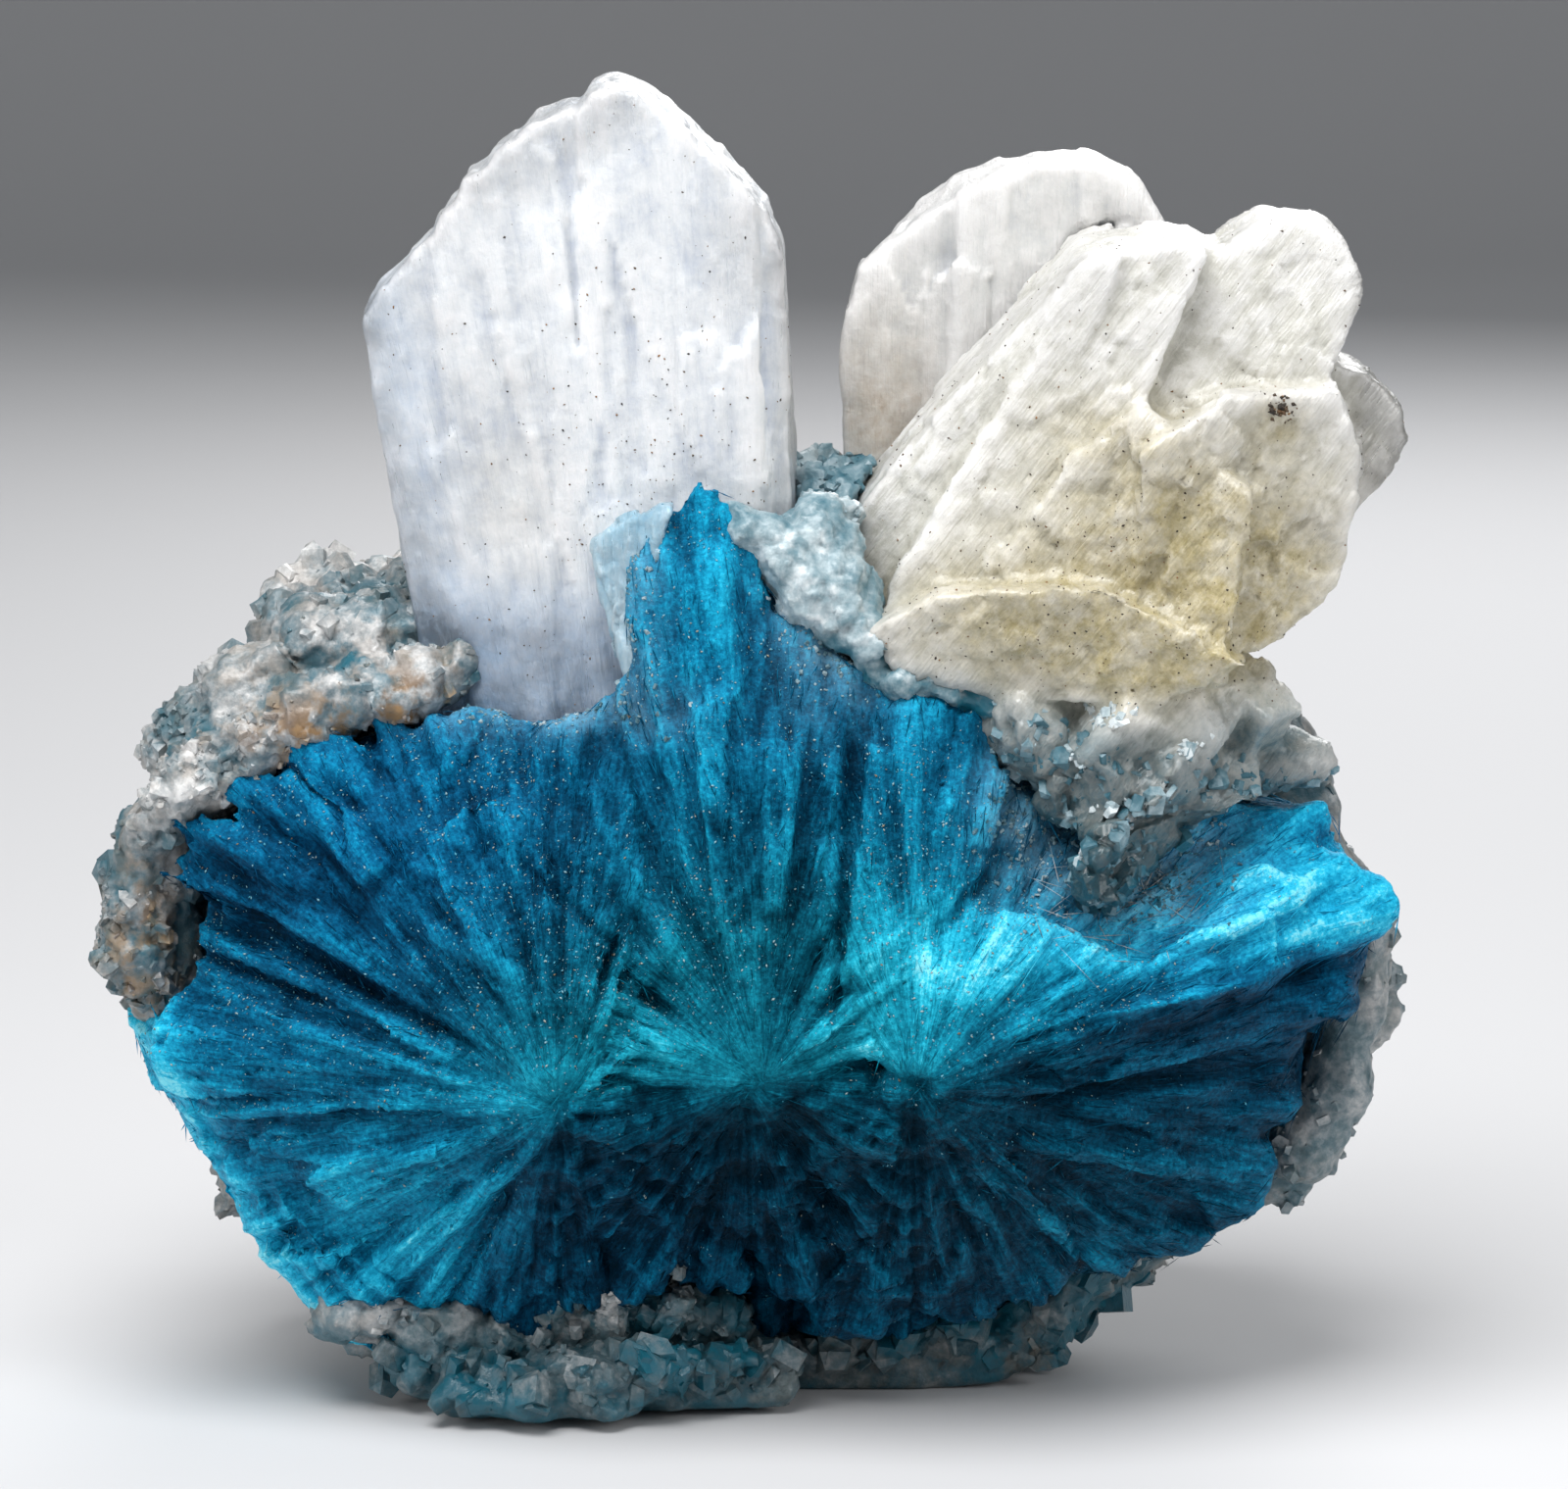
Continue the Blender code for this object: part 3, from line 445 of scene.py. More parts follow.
def material_for(piece, name):
    """A new Principled material on a piece: its node tree and its surface shader."""
    made = bpy.data.materials.new(name)
    made.use_nodes = True
    piece.data.materials.clear()
    piece.data.materials.append(made)
    tree = made.node_tree
    return tree, tree.nodes["Principled BSDF"]


def attribute(tree, name):
    node = tree.nodes.new("ShaderNodeAttribute")
    node.attribute_name = name
    return node.outputs["Vector"]


def parts_of(tree, vector):
    node = tree.nodes.new("ShaderNodeSeparateXYZ")
    tree.links.new(vector, node.inputs[0])
    return node.outputs


def stretched(tree, vector, factors):
    node = tree.nodes.new("ShaderNodeVectorMath")
    node.operation = "MULTIPLY"
    tree.links.new(vector, node.inputs[0])
    node.inputs[1].default_value = factors
    return node.outputs["Vector"]


def object_place(tree):
    """The place on the object, in millimetres."""
    place = tree.nodes.new("ShaderNodeTexCoord").outputs["Object"]
    return stretched(tree, place, (1 / MM, 1 / MM, 1 / MM))


def noise_of(tree, vector, scale, detail=3.0, roughness=0.6):
    node = tree.nodes.new("ShaderNodeTexNoise")
    tree.links.new(vector, node.inputs["Vector"])
    node.inputs["Scale"].default_value = scale
    node.inputs["Detail"].default_value = detail
    node.inputs["Roughness"].default_value = roughness
    return node.outputs["Fac"]


def calculate(tree, operation, first, second):
    """One step of arithmetic on sockets or plain numbers."""
    node = tree.nodes.new("ShaderNodeMath")
    node.operation = operation
    for socket, value in zip(node.inputs, (first, second)):
        if isinstance(value, (int, float)):
            socket.default_value = value
        else:
            tree.links.new(value, socket)
    return node.outputs[0]


def ramp(tree, value, stops):
    """Colours, or greys, at places from 0 to 1."""
    node = tree.nodes.new("ShaderNodeValToRGB")
    elements = node.color_ramp.elements
    while len(elements) < len(stops):
        elements.new(0.5)
    for element, (place, colour) in zip(elements, stops):
        element.position = place
        element.color = (*colour, 1.0) if isinstance(colour, tuple) else (colour, colour, colour, 1.0)
    tree.links.new(value, node.inputs[0])
    return node.outputs["Color"]


def blended(tree, share, first, second):
    """Mixes two colours, each a socket or three numbers."""
    node = tree.nodes.new("ShaderNodeMix")
    node.data_type = "RGBA"
    sockets = [s for s in node.inputs if s.type == "RGBA"]
    if isinstance(share, (int, float)):
        node.inputs[0].default_value = share
    else:
        tree.links.new(share, node.inputs[0])
    for socket, value in zip(sockets, (first, second)):
        if isinstance(value, tuple):
            socket.default_value = (*value, 1.0)
        else:
            tree.links.new(value, socket)
    return [s for s in node.outputs if s.type == "RGBA"][0]


def bump(tree, surface, height, strength, distance):
    node = tree.nodes.new("ShaderNodeBump")
    node.inputs["Strength"].default_value = strength
    node.inputs["Distance"].default_value = distance * MM
    tree.links.new(height, node.inputs["Height"])
    tree.links.new(node.outputs["Normal"], surface.inputs["Normal"])


def plate_height(points, plate):
    """A plate's height: a raised one starts with a step at its inner end, and both die away outwards."""
    start, end = np.array(plate[0:2]), np.array(plate[2:4])
    length = np.linalg.norm(end - start)
    heading = (end - start) / length
    offset = points[:, (0, 2)] - start
    along = offset @ heading
    across = np.abs(offset @ (-heading[1], heading[0]))
    half = 0.5 * np.interp(along, (0.0, length), plate[4:6])
    side = 1.0 - soft_step(across / half, 0.55, 1.15)
    rise = soft_step(along, -0.05, 0.14) if plate[6] > 0 else soft_step(along, -0.3, 1.6)
    return plate[6] * side * rise * (1.0 - soft_step(along, 0.6 * length, 1.15 * length))


def plates_of(points, chance):
    """All the plates: those that are listed, and many smaller ones at random."""
    total = np.zeros(len(points))
    for plate in PLATES:
        total += plate_height(points, plate)
    for _ in range(SMALL_PLATES):
        hub = np.array(HUBS[chance.choice(FAN_NAMES, p=(0.32, 0.26, 0.34, 0.08))])[[0, 2]]
        heading = chance.uniform(0, 2 * math.pi)
        heading = np.array((math.sin(heading), math.cos(heading)))
        start = hub + heading * chance.uniform(1.2, 7.5)
        end = start + heading * chance.uniform(1.5, 4.0)
        width = chance.uniform(0.2, 0.6)
        total += plate_height(points, (*start, *end, width, width * 1.8, chance.uniform(-0.16, 0.16)))
    return total


def grown_blades(name, starts, ends, widths, rise):
    """Loose pointed blades from start to end. Rise is how far they stand up for their width."""
    starts, ends, widths = np.array(starts), np.array(ends), np.array(widths)
    lengths = np.linalg.norm(ends - starts, axis=1)
    along = unit(ends - starts)
    up = along_surface(np.tile((0.0, -1.0, 0.0), (len(starts), 1)), along)
    none = np.zeros((len(starts), 3))
    return many(name, splinter(), (starts + ends) / 2, along, up, lengths * 1.1, widths * rise, widths, none)


def flank_blades():
    """The long laths of the smooth left flank."""
    outline = np.array(FLANK_OUTLINE)
    steps = np.concatenate([[0], np.cumsum(np.linalg.norm(np.diff(outline, axis=0), axis=1))])
    starts, ends, widths = [], [], []
    for inset, y, width, first in FLANK_ROWS:
        places = np.arange(first, steps[-1] - 1.0, FLANK_SPACING)
        for place in places:
            ahead = np.array([np.interp((place, place + FLANK_LATH), steps, outline[:, i]) for i in (0, 1)])
            heading = unit((ahead[:, 1] - ahead[:, 0])[None, :])[0]
            inward = np.array((-heading[1], heading[0])) * inset
            if place + FLANK_LATH > steps[-1]:
                ahead[:, 1] = ahead[:, 0] + heading * 3.0
            starts.append((ahead[0, 0] + inward[0], y, ahead[1, 0] + inward[1]))
            ends.append((ahead[0, 1] + inward[0], y, ahead[1, 1] + inward[1]))
            widths.append(width)
    return grown_blades("flank", starts, ends, widths, 1.1)


def blue_additions():
    """The ridges, rim blades, flank and hub masses, to be grown into the blue."""
    ridges = grown_blades("ridges", *zip(*RIDGES), 1.6)
    rim = grown_blades("rim", *zip(*RIM_BLADES), 0.4)
    masses = np.array(HUB_MASSES)
    up = np.tile((0.0, 0.0, 1.0), (len(masses), 1))
    side = np.tile((1.0, 0.0, 0.0), (len(masses), 1))
    across = 2 * masses[:, 3]
    none = np.zeros((len(masses), 3))
    lumps = many("hub_masses", round_ball(), masses[:, :3], up, side, across, across, across, none)
    return [ridges, rim, flank_blades(), lumps]


def blue_zones(points):
    """Tone, greenness and frosting of the blue at each point."""
    x, y, z = points.T
    tone = sum_of_regions(BLUE_TONE, points, BLUE_TONE_REGIONS)
    tone -= UNDERCUT_SHADE * undercut(points)
    edge = x - np.interp(z, [row[1] for row in FLANK_OUTLINE[::-1]], [row[0] for row in FLANK_OUTLINE[::-1]])
    flank = soft_step(edge, 1.5, 0.5) * soft_step(z, 10.9, 10.0)
    tone += 0.32 * flank
    teal = np.clip(sum_of_regions(TEAL_SHARE, points, TEAL_REGIONS), 0, 1)
    frost = 1.2 * blob(x, z, (1.9, 19.6, 1.1, 1.8))
    frost += 0.5 * blob(x, z, (-2.9, 19.6, 0.6, 1.8)) + 0.6 * blob(x, z, (9.0, 14.4, 1.8, 1.8))
    frost += 0.8 * blob(x, z, (-5.2, 17.0, 2.4, 0.6)) + 0.6 * blob(x, z, (8.2, 12.9, 1.6, 0.8))
    frost += 0.6 * blob(x, z, (5.9, 14.8, 0.8, 1.6))
    return np.stack([tone, teal, np.clip(frost, 0, 1)], axis=1)


def blue_colour(tree, zone, streak, amount):
    """The blue of a zone, lightened and darkened by a streak that runs from 0 to 1."""
    tone, teal, frost = parts_of(tree, zone)
    shade = calculate(tree, "ADD", tone, calculate(tree, "MULTIPLY", calculate(tree, "SUBTRACT", streak, 0.5), amount))
    blue = ramp(tree, shade, [
        (0.0, (0.0002, 0.003, 0.010)), (0.20, (0.0004, 0.014, 0.045)), (0.36, (0.0008, 0.045, 0.12)),
        (0.50, (0.002, 0.10, 0.235)), (0.64, (0.004, 0.21, 0.42)), (0.78, (0.010, 0.38, 0.66)),
        (0.90, (0.03, 0.56, 0.85)), (1.0, (0.20, 0.76, 0.93)),
    ])
    green = ramp(tree, shade, [
        (0.0, (0.0002, 0.004, 0.008)), (0.20, (0.0006, 0.018, 0.033)), (0.36, (0.001, 0.055, 0.09)),
        (0.50, (0.003, 0.12, 0.185)), (0.64, (0.006, 0.23, 0.33)), (0.78, (0.014, 0.39, 0.54)),
        (0.90, (0.05, 0.58, 0.74)), (1.0, (0.25, 0.76, 0.86)),
    ])
    return blended(tree, teal, blue, green), frost


def blue_finish(surface, roughness):
    """Blue reflections, as in a mass of fine blue fibres."""
    surface.inputs["Roughness"].default_value = roughness
    surface.inputs["Specular IOR Level"].default_value = 0.25
    surface.inputs["Specular Tint"].default_value = (0.05, 0.45, 0.75, 1.0)


def blue_surface(piece):
    """The matted, silky surface of the broken blades."""
    tree, surface = material_for(piece, "cavansite_fibres")
    fan = attribute(tree, "fan")
    zone = attribute(tree, "zone")
    broad = noise_of(tree, stretched(tree, fan, (1.5, 0.28, 1.0)), 1.0, 4.0, 0.62)
    fine = noise_of(tree, stretched(tree, fan, (9.0, 1.1, 1.0)), 1.0, 3.0, 0.7)
    cloud = noise_of(tree, object_place(tree), 0.9, 5.0, 0.65)
    sugar = noise_of(tree, object_place(tree), 9.0, 3.0, 0.7)
    streak = calculate(tree, "ADD", calculate(tree, "MULTIPLY", broad, 0.25), calculate(tree, "MULTIPLY", fine, 0.22))
    streak = calculate(tree, "ADD", streak, calculate(tree, "MULTIPLY", cloud, 0.23))
    streak = calculate(tree, "ADD", streak, calculate(tree, "MULTIPLY", sugar, 0.30))
    colour, frost = blue_colour(tree, zone, streak, 2.0)
    frosted = calculate(tree, "MULTIPLY", frost, ramp(tree, cloud, [(0.36, 0.05), (0.64, 0.9)]))
    colour = blended(tree, frosted, colour, (0.26, 0.47, 0.60))
    tree.links.new(colour, surface.inputs["Base Color"])
    blue_finish(surface, 0.55)
    height = calculate(tree, "ADD", calculate(tree, "MULTIPLY", fine, 0.7), sugar)
    bump(tree, surface, height, 0.9, 0.05)


def blue_needles(piece):
    tree, surface = material_for(piece, "cavansite_needles")
    zone = attribute(tree, "zone")
    own = parts_of(tree, attribute(tree, "tint"))[0]
    colour, frost = blue_colour(tree, zone, own, 0.30)
    tree.links.new(colour, surface.inputs["Base Color"])
    blue_finish(surface, 0.4)


def dust_material(piece):
    tree, surface = material_for(piece, "dust")
    own = parts_of(tree, attribute(tree, "tint"))[0]
    colour = ramp(tree, own, [
        (0.0, (0.02, 0.22, 0.36)), (0.4, (0.08, 0.36, 0.48)), (0.65, (0.24, 0.42, 0.48)),
        (0.82, (0.40, 0.46, 0.44)), (0.9, (0.28, 0.22, 0.13)), (1.0, (0.12, 0.07, 0.04)),
    ])
    tree.links.new(colour, surface.inputs["Base Color"])
    surface.inputs["Roughness"].default_value = 0.6
    surface.inputs["Specular IOR Level"].default_value = 0.3


def make_blue():
    """The broken face: a fine surface, splinters that lie along the blades, and dust."""
    chance = np.random.default_rng(11)

    def in_front(places):
        sides = (np.abs(places[:, 0]) > 9.0) & (places[:, 2] < 14.0)
        return places[:, 1] < np.where(sides, 1.0, -0.9)

    face = fine_copy("cavansite", "cavansite_face", 0.12, in_front, 48, blue_additions())
    points = vertices_of(face.data)
    fan, away = fan_coordinates(points)
    below = undercut(points)
    reach = 0.25 + 0.75 * soft_step(fan[:, 1], 0.5, 4.0)
    cave = below * soft_step(points[:, 0], -6.0, -4.0) * soft_step(points[:, 0], 5.5, 3.5)
    bundles = facets(fan * (1.0, 0.26, 1.0), 5) * 0.12 + facets(fan * (3.0, 0.7, 1.0), 31) * 0.05
    bundles += (0.5 - np.abs(layered_noise(fan * (1.6, 0.2, 1.0), 2, 5))) * (0.04 + 0.12 * below)
    fibres = layered_noise(fan * (8.0, 1.0, 1.0), 1, 37) * 0.025
    lumps = layered_noise(points * 1.0, 4, 77) * 0.07
    blocks = (layered_noise(points * 0.9, 3, 13) + np.abs(layered_noise(points * 1.7, 2, 17))) * 0.22
    plates = plates_of(points, chance)
    raise_by(face.data, (bundles + fibres) * reach + lumps + plates * reach + blocks * cave)
    points = vertices_of(face.data)
    fan, away = fan_coordinates(points)
    zones = blue_zones(points)
    # Painted highlight and painted shade: the tone is raised where the surface stands out and lowered in its hollows.
    zones[:, 0] += np.clip(standing_out(face.data, 30) * 1.2, -0.18, 0.14)
    store(face.data, "fan", fan)
    store(face.data, "zone", zones)
    blue_surface(face)
    place_piece(face, "cavansite")

    def outward(places, normal):
        return (normal[:, 1] < 0.3) * 1.0

    count = 14000
    places, normal = surface_samples(face.data, count, chance, outward)
    fan, away = fan_coordinates(places)
    along = along_surface(unit(away) + chance.normal(0, 0.16, (count, 3)), normal)
    along = unit(along + normal * chance.normal(0.0, 0.05, (count, 1)))
    across = unit(np.cross(along, normal))
    lengths = chance.uniform(0.15, 0.75, count)
    lengths *= 1.0 + 2.5 * soft_step(places[:, 0], 4.0, 7.0) * chance.random(count) ** 3
    places -= along * (lengths / 2)[:, None]
    widths = chance.uniform(0.018, 0.042, count)
    tint = np.stack([chance.beta(2.0, 2.0, count)] * 3, axis=1)
    needles = many("cavansite_needles", splinter(), places, along, across, lengths, widths, widths, tint)
    store(needles.data, "zone", blue_zones(vertices_of(needles.data)))
    blue_needles(needles)
    place_piece(needles)

    def settled(places, normal):
        clumps = np.clip(0.55 + layered_noise(places * 0.7, 2, 3), 0.08, 1.5)
        upward = np.clip(normal[:, 2] + 0.45, 0.1, 1.0)
        thin = 0.35 + 0.65 * soft_step(places[:, 0], 11.0, 7.0)
        return clumps * upward * thin * (normal[:, 1] < 0.2) * (1 - 0.75 * undercut(places))

    count = 12500
    places, normal = surface_samples(face.data, count, chance, settled)
    sizes = 0.016 + 0.040 * chance.random(count) ** 3
    along = along_surface(chance.normal(0, 1, (count, 3)), normal)
    across = unit(np.cross(along, normal))
    tint = np.stack([chance.beta(2.2, 1.8, count)] * 3, axis=1)
    dust = many("dust", grain(), places + normal * 0.015, along, across, sizes * 1.9, sizes, sizes * 0.7, tint)
    dust_material(dust)
    place_piece(dust)
    return face


def pale_zones(points, clear, stains, cool):
    """How clear, how stained and how cool in colour a pale crystal is at each point. On the right crystal the stains
    also carry painted shade low on its front.
    """
    stained = sum_of_regions(0.0, points, stains)
    return np.stack([np.clip(clear, 0, 1), np.clip(stained, 0, 1), np.clip(cool, 0, 1)], axis=1)


def pale_surface(piece, name, whites, stain_colours, cool_colour, milk=0.22):
    """Milky stilbite: cloudy white with clearer patches, fine striations and faint stains (on the right crystal they
    also paint shade), with painted highlight on the ridges and painted shade in the hollows.
    """
    tree, surface = material_for(piece, name)
    grain_place = attribute(tree, "grain")
    clear, stained, cool = parts_of(tree, attribute(tree, "zone"))
    height, deep, _ = parts_of(tree, attribute(tree, "relief"))
    long_cloud = noise_of(tree, stretched(tree, grain_place, (1.2, 1.0, 0.30)), 1.0, 6.0, 0.65)
    round_cloud = noise_of(tree, object_place(tree), 0.8, 6.0, 0.65)
    lines = noise_of(tree, stretched(tree, grain_place, (12.0, 4.0, 0.8)), 1.0, 3.0, 0.6)
    crumbs = noise_of(tree, object_place(tree), 4.5, 4.0, 0.7)
    cloud = calculate(tree, "ADD", calculate(tree, "MULTIPLY", long_cloud, 0.38), calculate(tree, "MULTIPLY", round_cloud, 0.34))
    cloud = calculate(tree, "ADD", cloud, calculate(tree, "MULTIPLY", crumbs, 0.20))
    cloud = calculate(tree, "ADD", cloud, calculate(tree, "MULTIPLY", lines, 0.08))
    # Painted highlight and painted shade: the white is lighter where the crystal stands out and greyer in its hollows.
    cloud = calculate(tree, "ADD", cloud, calculate(tree, "MULTIPLY", height, 1.1))
    colour = ramp(tree, cloud, [(0.34, whites[0]), (0.45, whites[1]), (0.52, whites[2]), (0.62, whites[3])])
    patch = noise_of(tree, object_place(tree), 1.5, 5.0, 0.7)
    # The stain; on the right crystal its low part is also painted shade.
    stain = calculate(tree, "MULTIPLY", stained, ramp(tree, patch, [(0.3, 0.45), (0.62, 1.0)]))
    stain_colour = ramp(tree, crumbs, [(0.35, stain_colours[0]), (0.65, stain_colours[1])])
    colour = blended(tree, stain, colour, stain_colour)
    mottle = calculate(tree, "ADD", calculate(tree, "MULTIPLY", round_cloud, 0.5), calculate(tree, "MULTIPLY", crumbs, 0.5))
    mottle = calculate(tree, "SUBTRACT", mottle, calculate(tree, "MULTIPLY", deep, 0.14))
    cooled = blended(tree, ramp(tree, mottle, [(0.42, 0.0), (0.66, 0.70)]), cool_colour, whites[0])
    colour = blended(tree, cool, colour, cooled)
    tree.links.new(colour, surface.inputs["Base Color"])
    window = calculate(tree, "MULTIPLY", clear, ramp(tree, patch, [(0.35, 0.5), (0.6, 1.0)]))
    window = calculate(tree, "ADD", calculate(tree, "MULTIPLY", window, 0.8), 0.04)
    tree.links.new(window, surface.inputs["Transmission Weight"])
    tree.links.new(ramp(tree, lines, [(0.3, 0.26), (0.7, 0.44)]), surface.inputs["Roughness"])
    surface.inputs["IOR"].default_value = 1.5
    surface.inputs["Coat Weight"].default_value = 0.35
    surface.inputs["Coat Roughness"].default_value = 0.12
    surface.inputs["Subsurface Weight"].default_value = milk
    surface.inputs["Subsurface Radius"].default_value = (1.0, 0.95, 0.9)
    surface.inputs["Subsurface Scale"].default_value = 0.6 * MM
    heights = calculate(tree, "ADD", lines, calculate(tree, "MULTIPLY", crumbs, 0.7))
    bump(tree, surface, heights, 0.7, 0.06)


def specks(name, piece, count, sizes, chance, weigh):
    """Dark or rusty grains scattered on a pale crystal."""
    places, normal = surface_samples(piece.data, count, chance, weigh)
    size = chance.uniform(*sizes, count) * chance.uniform(0.5, 1.0, count)
    along = unit(chance.normal(0, 1, (count, 3)))
    across = along_surface(chance.normal(0, 1, (count, 3)), along)
    tint = np.stack([chance.random(count)] * 3, axis=1)
    made = many(name, grain(), places, along, across, size * 1.5, size, size * 0.8, tint)
    tree, surface = material_for(made, name)
    own = parts_of(tree, attribute(tree, "tint"))[0]
    colour = ramp(tree, own, [(0.0, (0.010, 0.009, 0.008)), (0.45, (0.05, 0.033, 0.02)), (0.75, (0.13, 0.07, 0.03)),
                              (1.0, (0.28, 0.14, 0.05))])
    tree.links.new(colour, surface.inputs["Base Color"])
    surface.inputs["Roughness"].default_value = 0.6
    return place_piece(made)


def pale_crystal(node, voxel, rounds, grain_place, relief, reshaped=None, softened=0):
    """The finely divided crystal with its striations raised."""
    piece = fine_copy(node, node + "_crystal", voxel, None, rounds)
    if reshaped:
        move_vertices(piece.data, reshaped(vertices_of(piece.data)))
    points = vertices_of(piece.data)
    raise_by(piece.data, relief(points, grain_place(points)))
    smooth(piece.data, softened)
    points = vertices_of(piece.data)
    store(piece.data, "grain", grain_place(points))
    # How far the surface stands out, read by the material as painted highlight on the ridges and painted shade in the
    # hollows.
    height = np.clip(standing_out(piece.data, 16), -0.1, 0.1)
    deep = soft_step(points[:, 2], 15.2, 12.6)
    store(piece.data, "relief", np.stack([height, deep, deep], axis=1))
    place_piece(piece, node)
    return piece, points


def make_left_stilbite():
    chance = np.random.default_rng(21)

    def laths(points):
        spread = np.arctan2(points[:, 0] - 0.7, points[:, 2] + 15.0) * 38.0
        return np.stack([spread, points[:, 1], points[:, 2]], axis=1)

    def relief(points, place):
        flutes = (0.5 - np.abs(layered_noise(place * (0.9, 0.6, 0.08), 2, 41))) * 0.08
        fine = layered_noise(place * (3.6, 2.0, 0.30), 2, 43) * 0.02
        slope = 27.5 + 0.55 * (points[:, 0] + 6.5) - points[:, 2]
        side = points[:, 0] + 9.0 - 0.24 * (25.4 - points[:, 2])
        inner = soft_step(slope, 0.2, 1.6) * soft_step(side, 0.2, 1.6)
        steps = facets(place * (0.7, 0.5, 0.14), 44) * 0.11 * inner + facets(place * (2.2, 1.0, 0.5), 45) * 0.05
        chips = layered_noise(points * 1.6, 3, 47) * 0.03
        return flutes + fine + steps + chips

    piece, points = pale_crystal("stilbite_left", 0.11, 1, laths, relief, softened=1)
    x, z = points[:, 0], points[:, 2]
    chip = (x > -4.6) & (x < -1.8) & (z > 17.0)
    points[chip, 1] = np.maximum(points[chip, 1], -3.95)
    move_vertices(piece.data, points)
    left_edge = -9.0 + 0.24 * (25.4 - z)
    clear = 0.7 * soft_step(left_edge + 0.9 - x, 0.0, 1.0) + 0.6 * soft_step(z, 19.4, 18.2)
    clear += 0.5 * soft_step(x, 0.1, 0.6) + 0.5 * soft_step(z - 27.5 - 0.55 * (x + 6.5), -0.4, 1.0)
    clear += 0.4 * np.clip(layered_noise(points * (0.35, 0.3, 0.22), 2, 49), 0, 1)
    cool = 0.75 * soft_step(z, 20.2, 17.8) + 0.3 * soft_step(left_edge + 2.0 - x, 0.0, 1.6)
    cool += 0.9 * blob(x, z, (-3.1, 19.0, 0.7, 2.2)) * (points[:, 1] < -4.4)
    store(piece.data, "zone", pale_zones(points, clear, [(-5.9, 21.4, 1.2, 1.6, 0.16)], cool))
    whites = [(0.50, 0.55, 0.64), (0.66, 0.69, 0.73), (0.76, 0.78, 0.80), (0.86, 0.86, 0.87)]
    pale_surface(piece, "stilbite_white", whites, [(0.62, 0.50, 0.34), (0.75, 0.66, 0.50)], (0.42, 0.56, 0.74))

    def front(places, normal):
        middle = blob(places[:, 0], places[:, 2], (-2.4, 21.5, 2.6, 4.5))
        return (normal[:, 1] < -0.3) * (0.15 + middle)

    specks("specks_left", piece, 520, (0.02, 0.075), chance, front)


# The clear sliver over the peak of the blades, as (x, z) round its outline.
SLIVER = [
    (-3.8, 20.55), (-3.0, 21.1), (-2.2, 21.5), (-1.9, 21.5), (-2.15, 20.9), (-2.45, 20.2), (-2.6, 19.25),
    (-2.5, 17.95), (-2.25, 17.5), (-2.25, 17.2), (-2.5, 16.55), (-2.95, 17.35), (-3.4, 18.55), (-3.7, 19.6),
]


def make_sliver():
    """A thin pale-blue crystal that leans from the left stilbite onto the blades."""
    mesh = bpy.data.meshes.new("sliver")
    shape = bmesh.new()
    outline = np.array(SLIVER)
    front = -4.35 - 0.62 * (outline[:, 0] + 3.9) - 0.35 * soft_step(outline[:, 1], 20.0, 17.0)
    layers = []
    for setback, inset in ((0.0, 0.9), (0.12, 1.0), (0.9, 1.0)):
        middle = outline.mean(axis=0)
        ring = middle + (outline - middle) * inset
        layers.append([shape.verts.new((x * MM, (y + setback) * MM, z * MM)) for (x, z), y in zip(ring, front)])
    total = len(SLIVER)
    for outer, inner in zip(layers[:-1], layers[1:]):
        for i in range(total):
            after = (i + 1) % total
            shape.faces.new((outer[i], outer[after], inner[after], inner[i]))
    shape.faces.new(layers[0][::-1])
    shape.faces.new(layers[-1])
    bmesh.ops.triangulate(shape, faces=shape.faces[:])
    bmesh.ops.recalc_face_normals(shape, faces=shape.faces)
    shape.to_mesh(mesh)
    shape.free()
    piece = bpy.data.objects.new("sliver", mesh)
    bpy.context.scene.collection.objects.link(piece)
    remesh(piece, 0.07)
    smooth(mesh=piece.data, rounds=2)
    points = vertices_of(piece.data)
    raise_by(piece.data, facets(points * (1.5, 1.0, 0.4), 95) * 0.08 + facets(points * 3.0, 96) * 0.03)
    points = vertices_of(piece.data)
    store(piece.data, "grain", points)
    store(piece.data, "relief", np.zeros((len(points), 3)))
    clear = np.full(len(points), 0.55)
    cool = 0.10 + 0.35 * soft_step(points[:, 0], -3.4, -2.2)
    store(piece.data, "zone", pale_zones(points, clear, [], cool))
    whites = [(0.34, 0.56, 0.70), (0.44, 0.65, 0.77), (0.60, 0.76, 0.84), (0.80, 0.88, 0.92)]
    pale_surface(piece, "stilbite_blue_white", whites, [(0.5, 0.5, 0.5), (0.5, 0.5, 0.5)], (0.12, 0.46, 0.68))
    place_piece(piece)


# Stains of the right crystal, as (x, z, half width, half height, weight). The low ones at (6.6, 19.0) and (9.2, 18.2)
# are weighted up so that they paint the shade low on its front as well as the stain.
RIGHT_STAINS_AND_SHADE = [
    (9.3, 21.2, 3.2, 2.0, 0.95), (6.6, 19.0, 3.6, 1.3, 0.95), (11.4, 19.8, 2.4, 1.7, 0.55),
    (11.5, 23.4, 0.7, 0.6, 0.7), (9.2, 18.2, 3.4, 1.1, 0.80), (7.8, 23.2, 1.6, 0.8, 0.35),
]
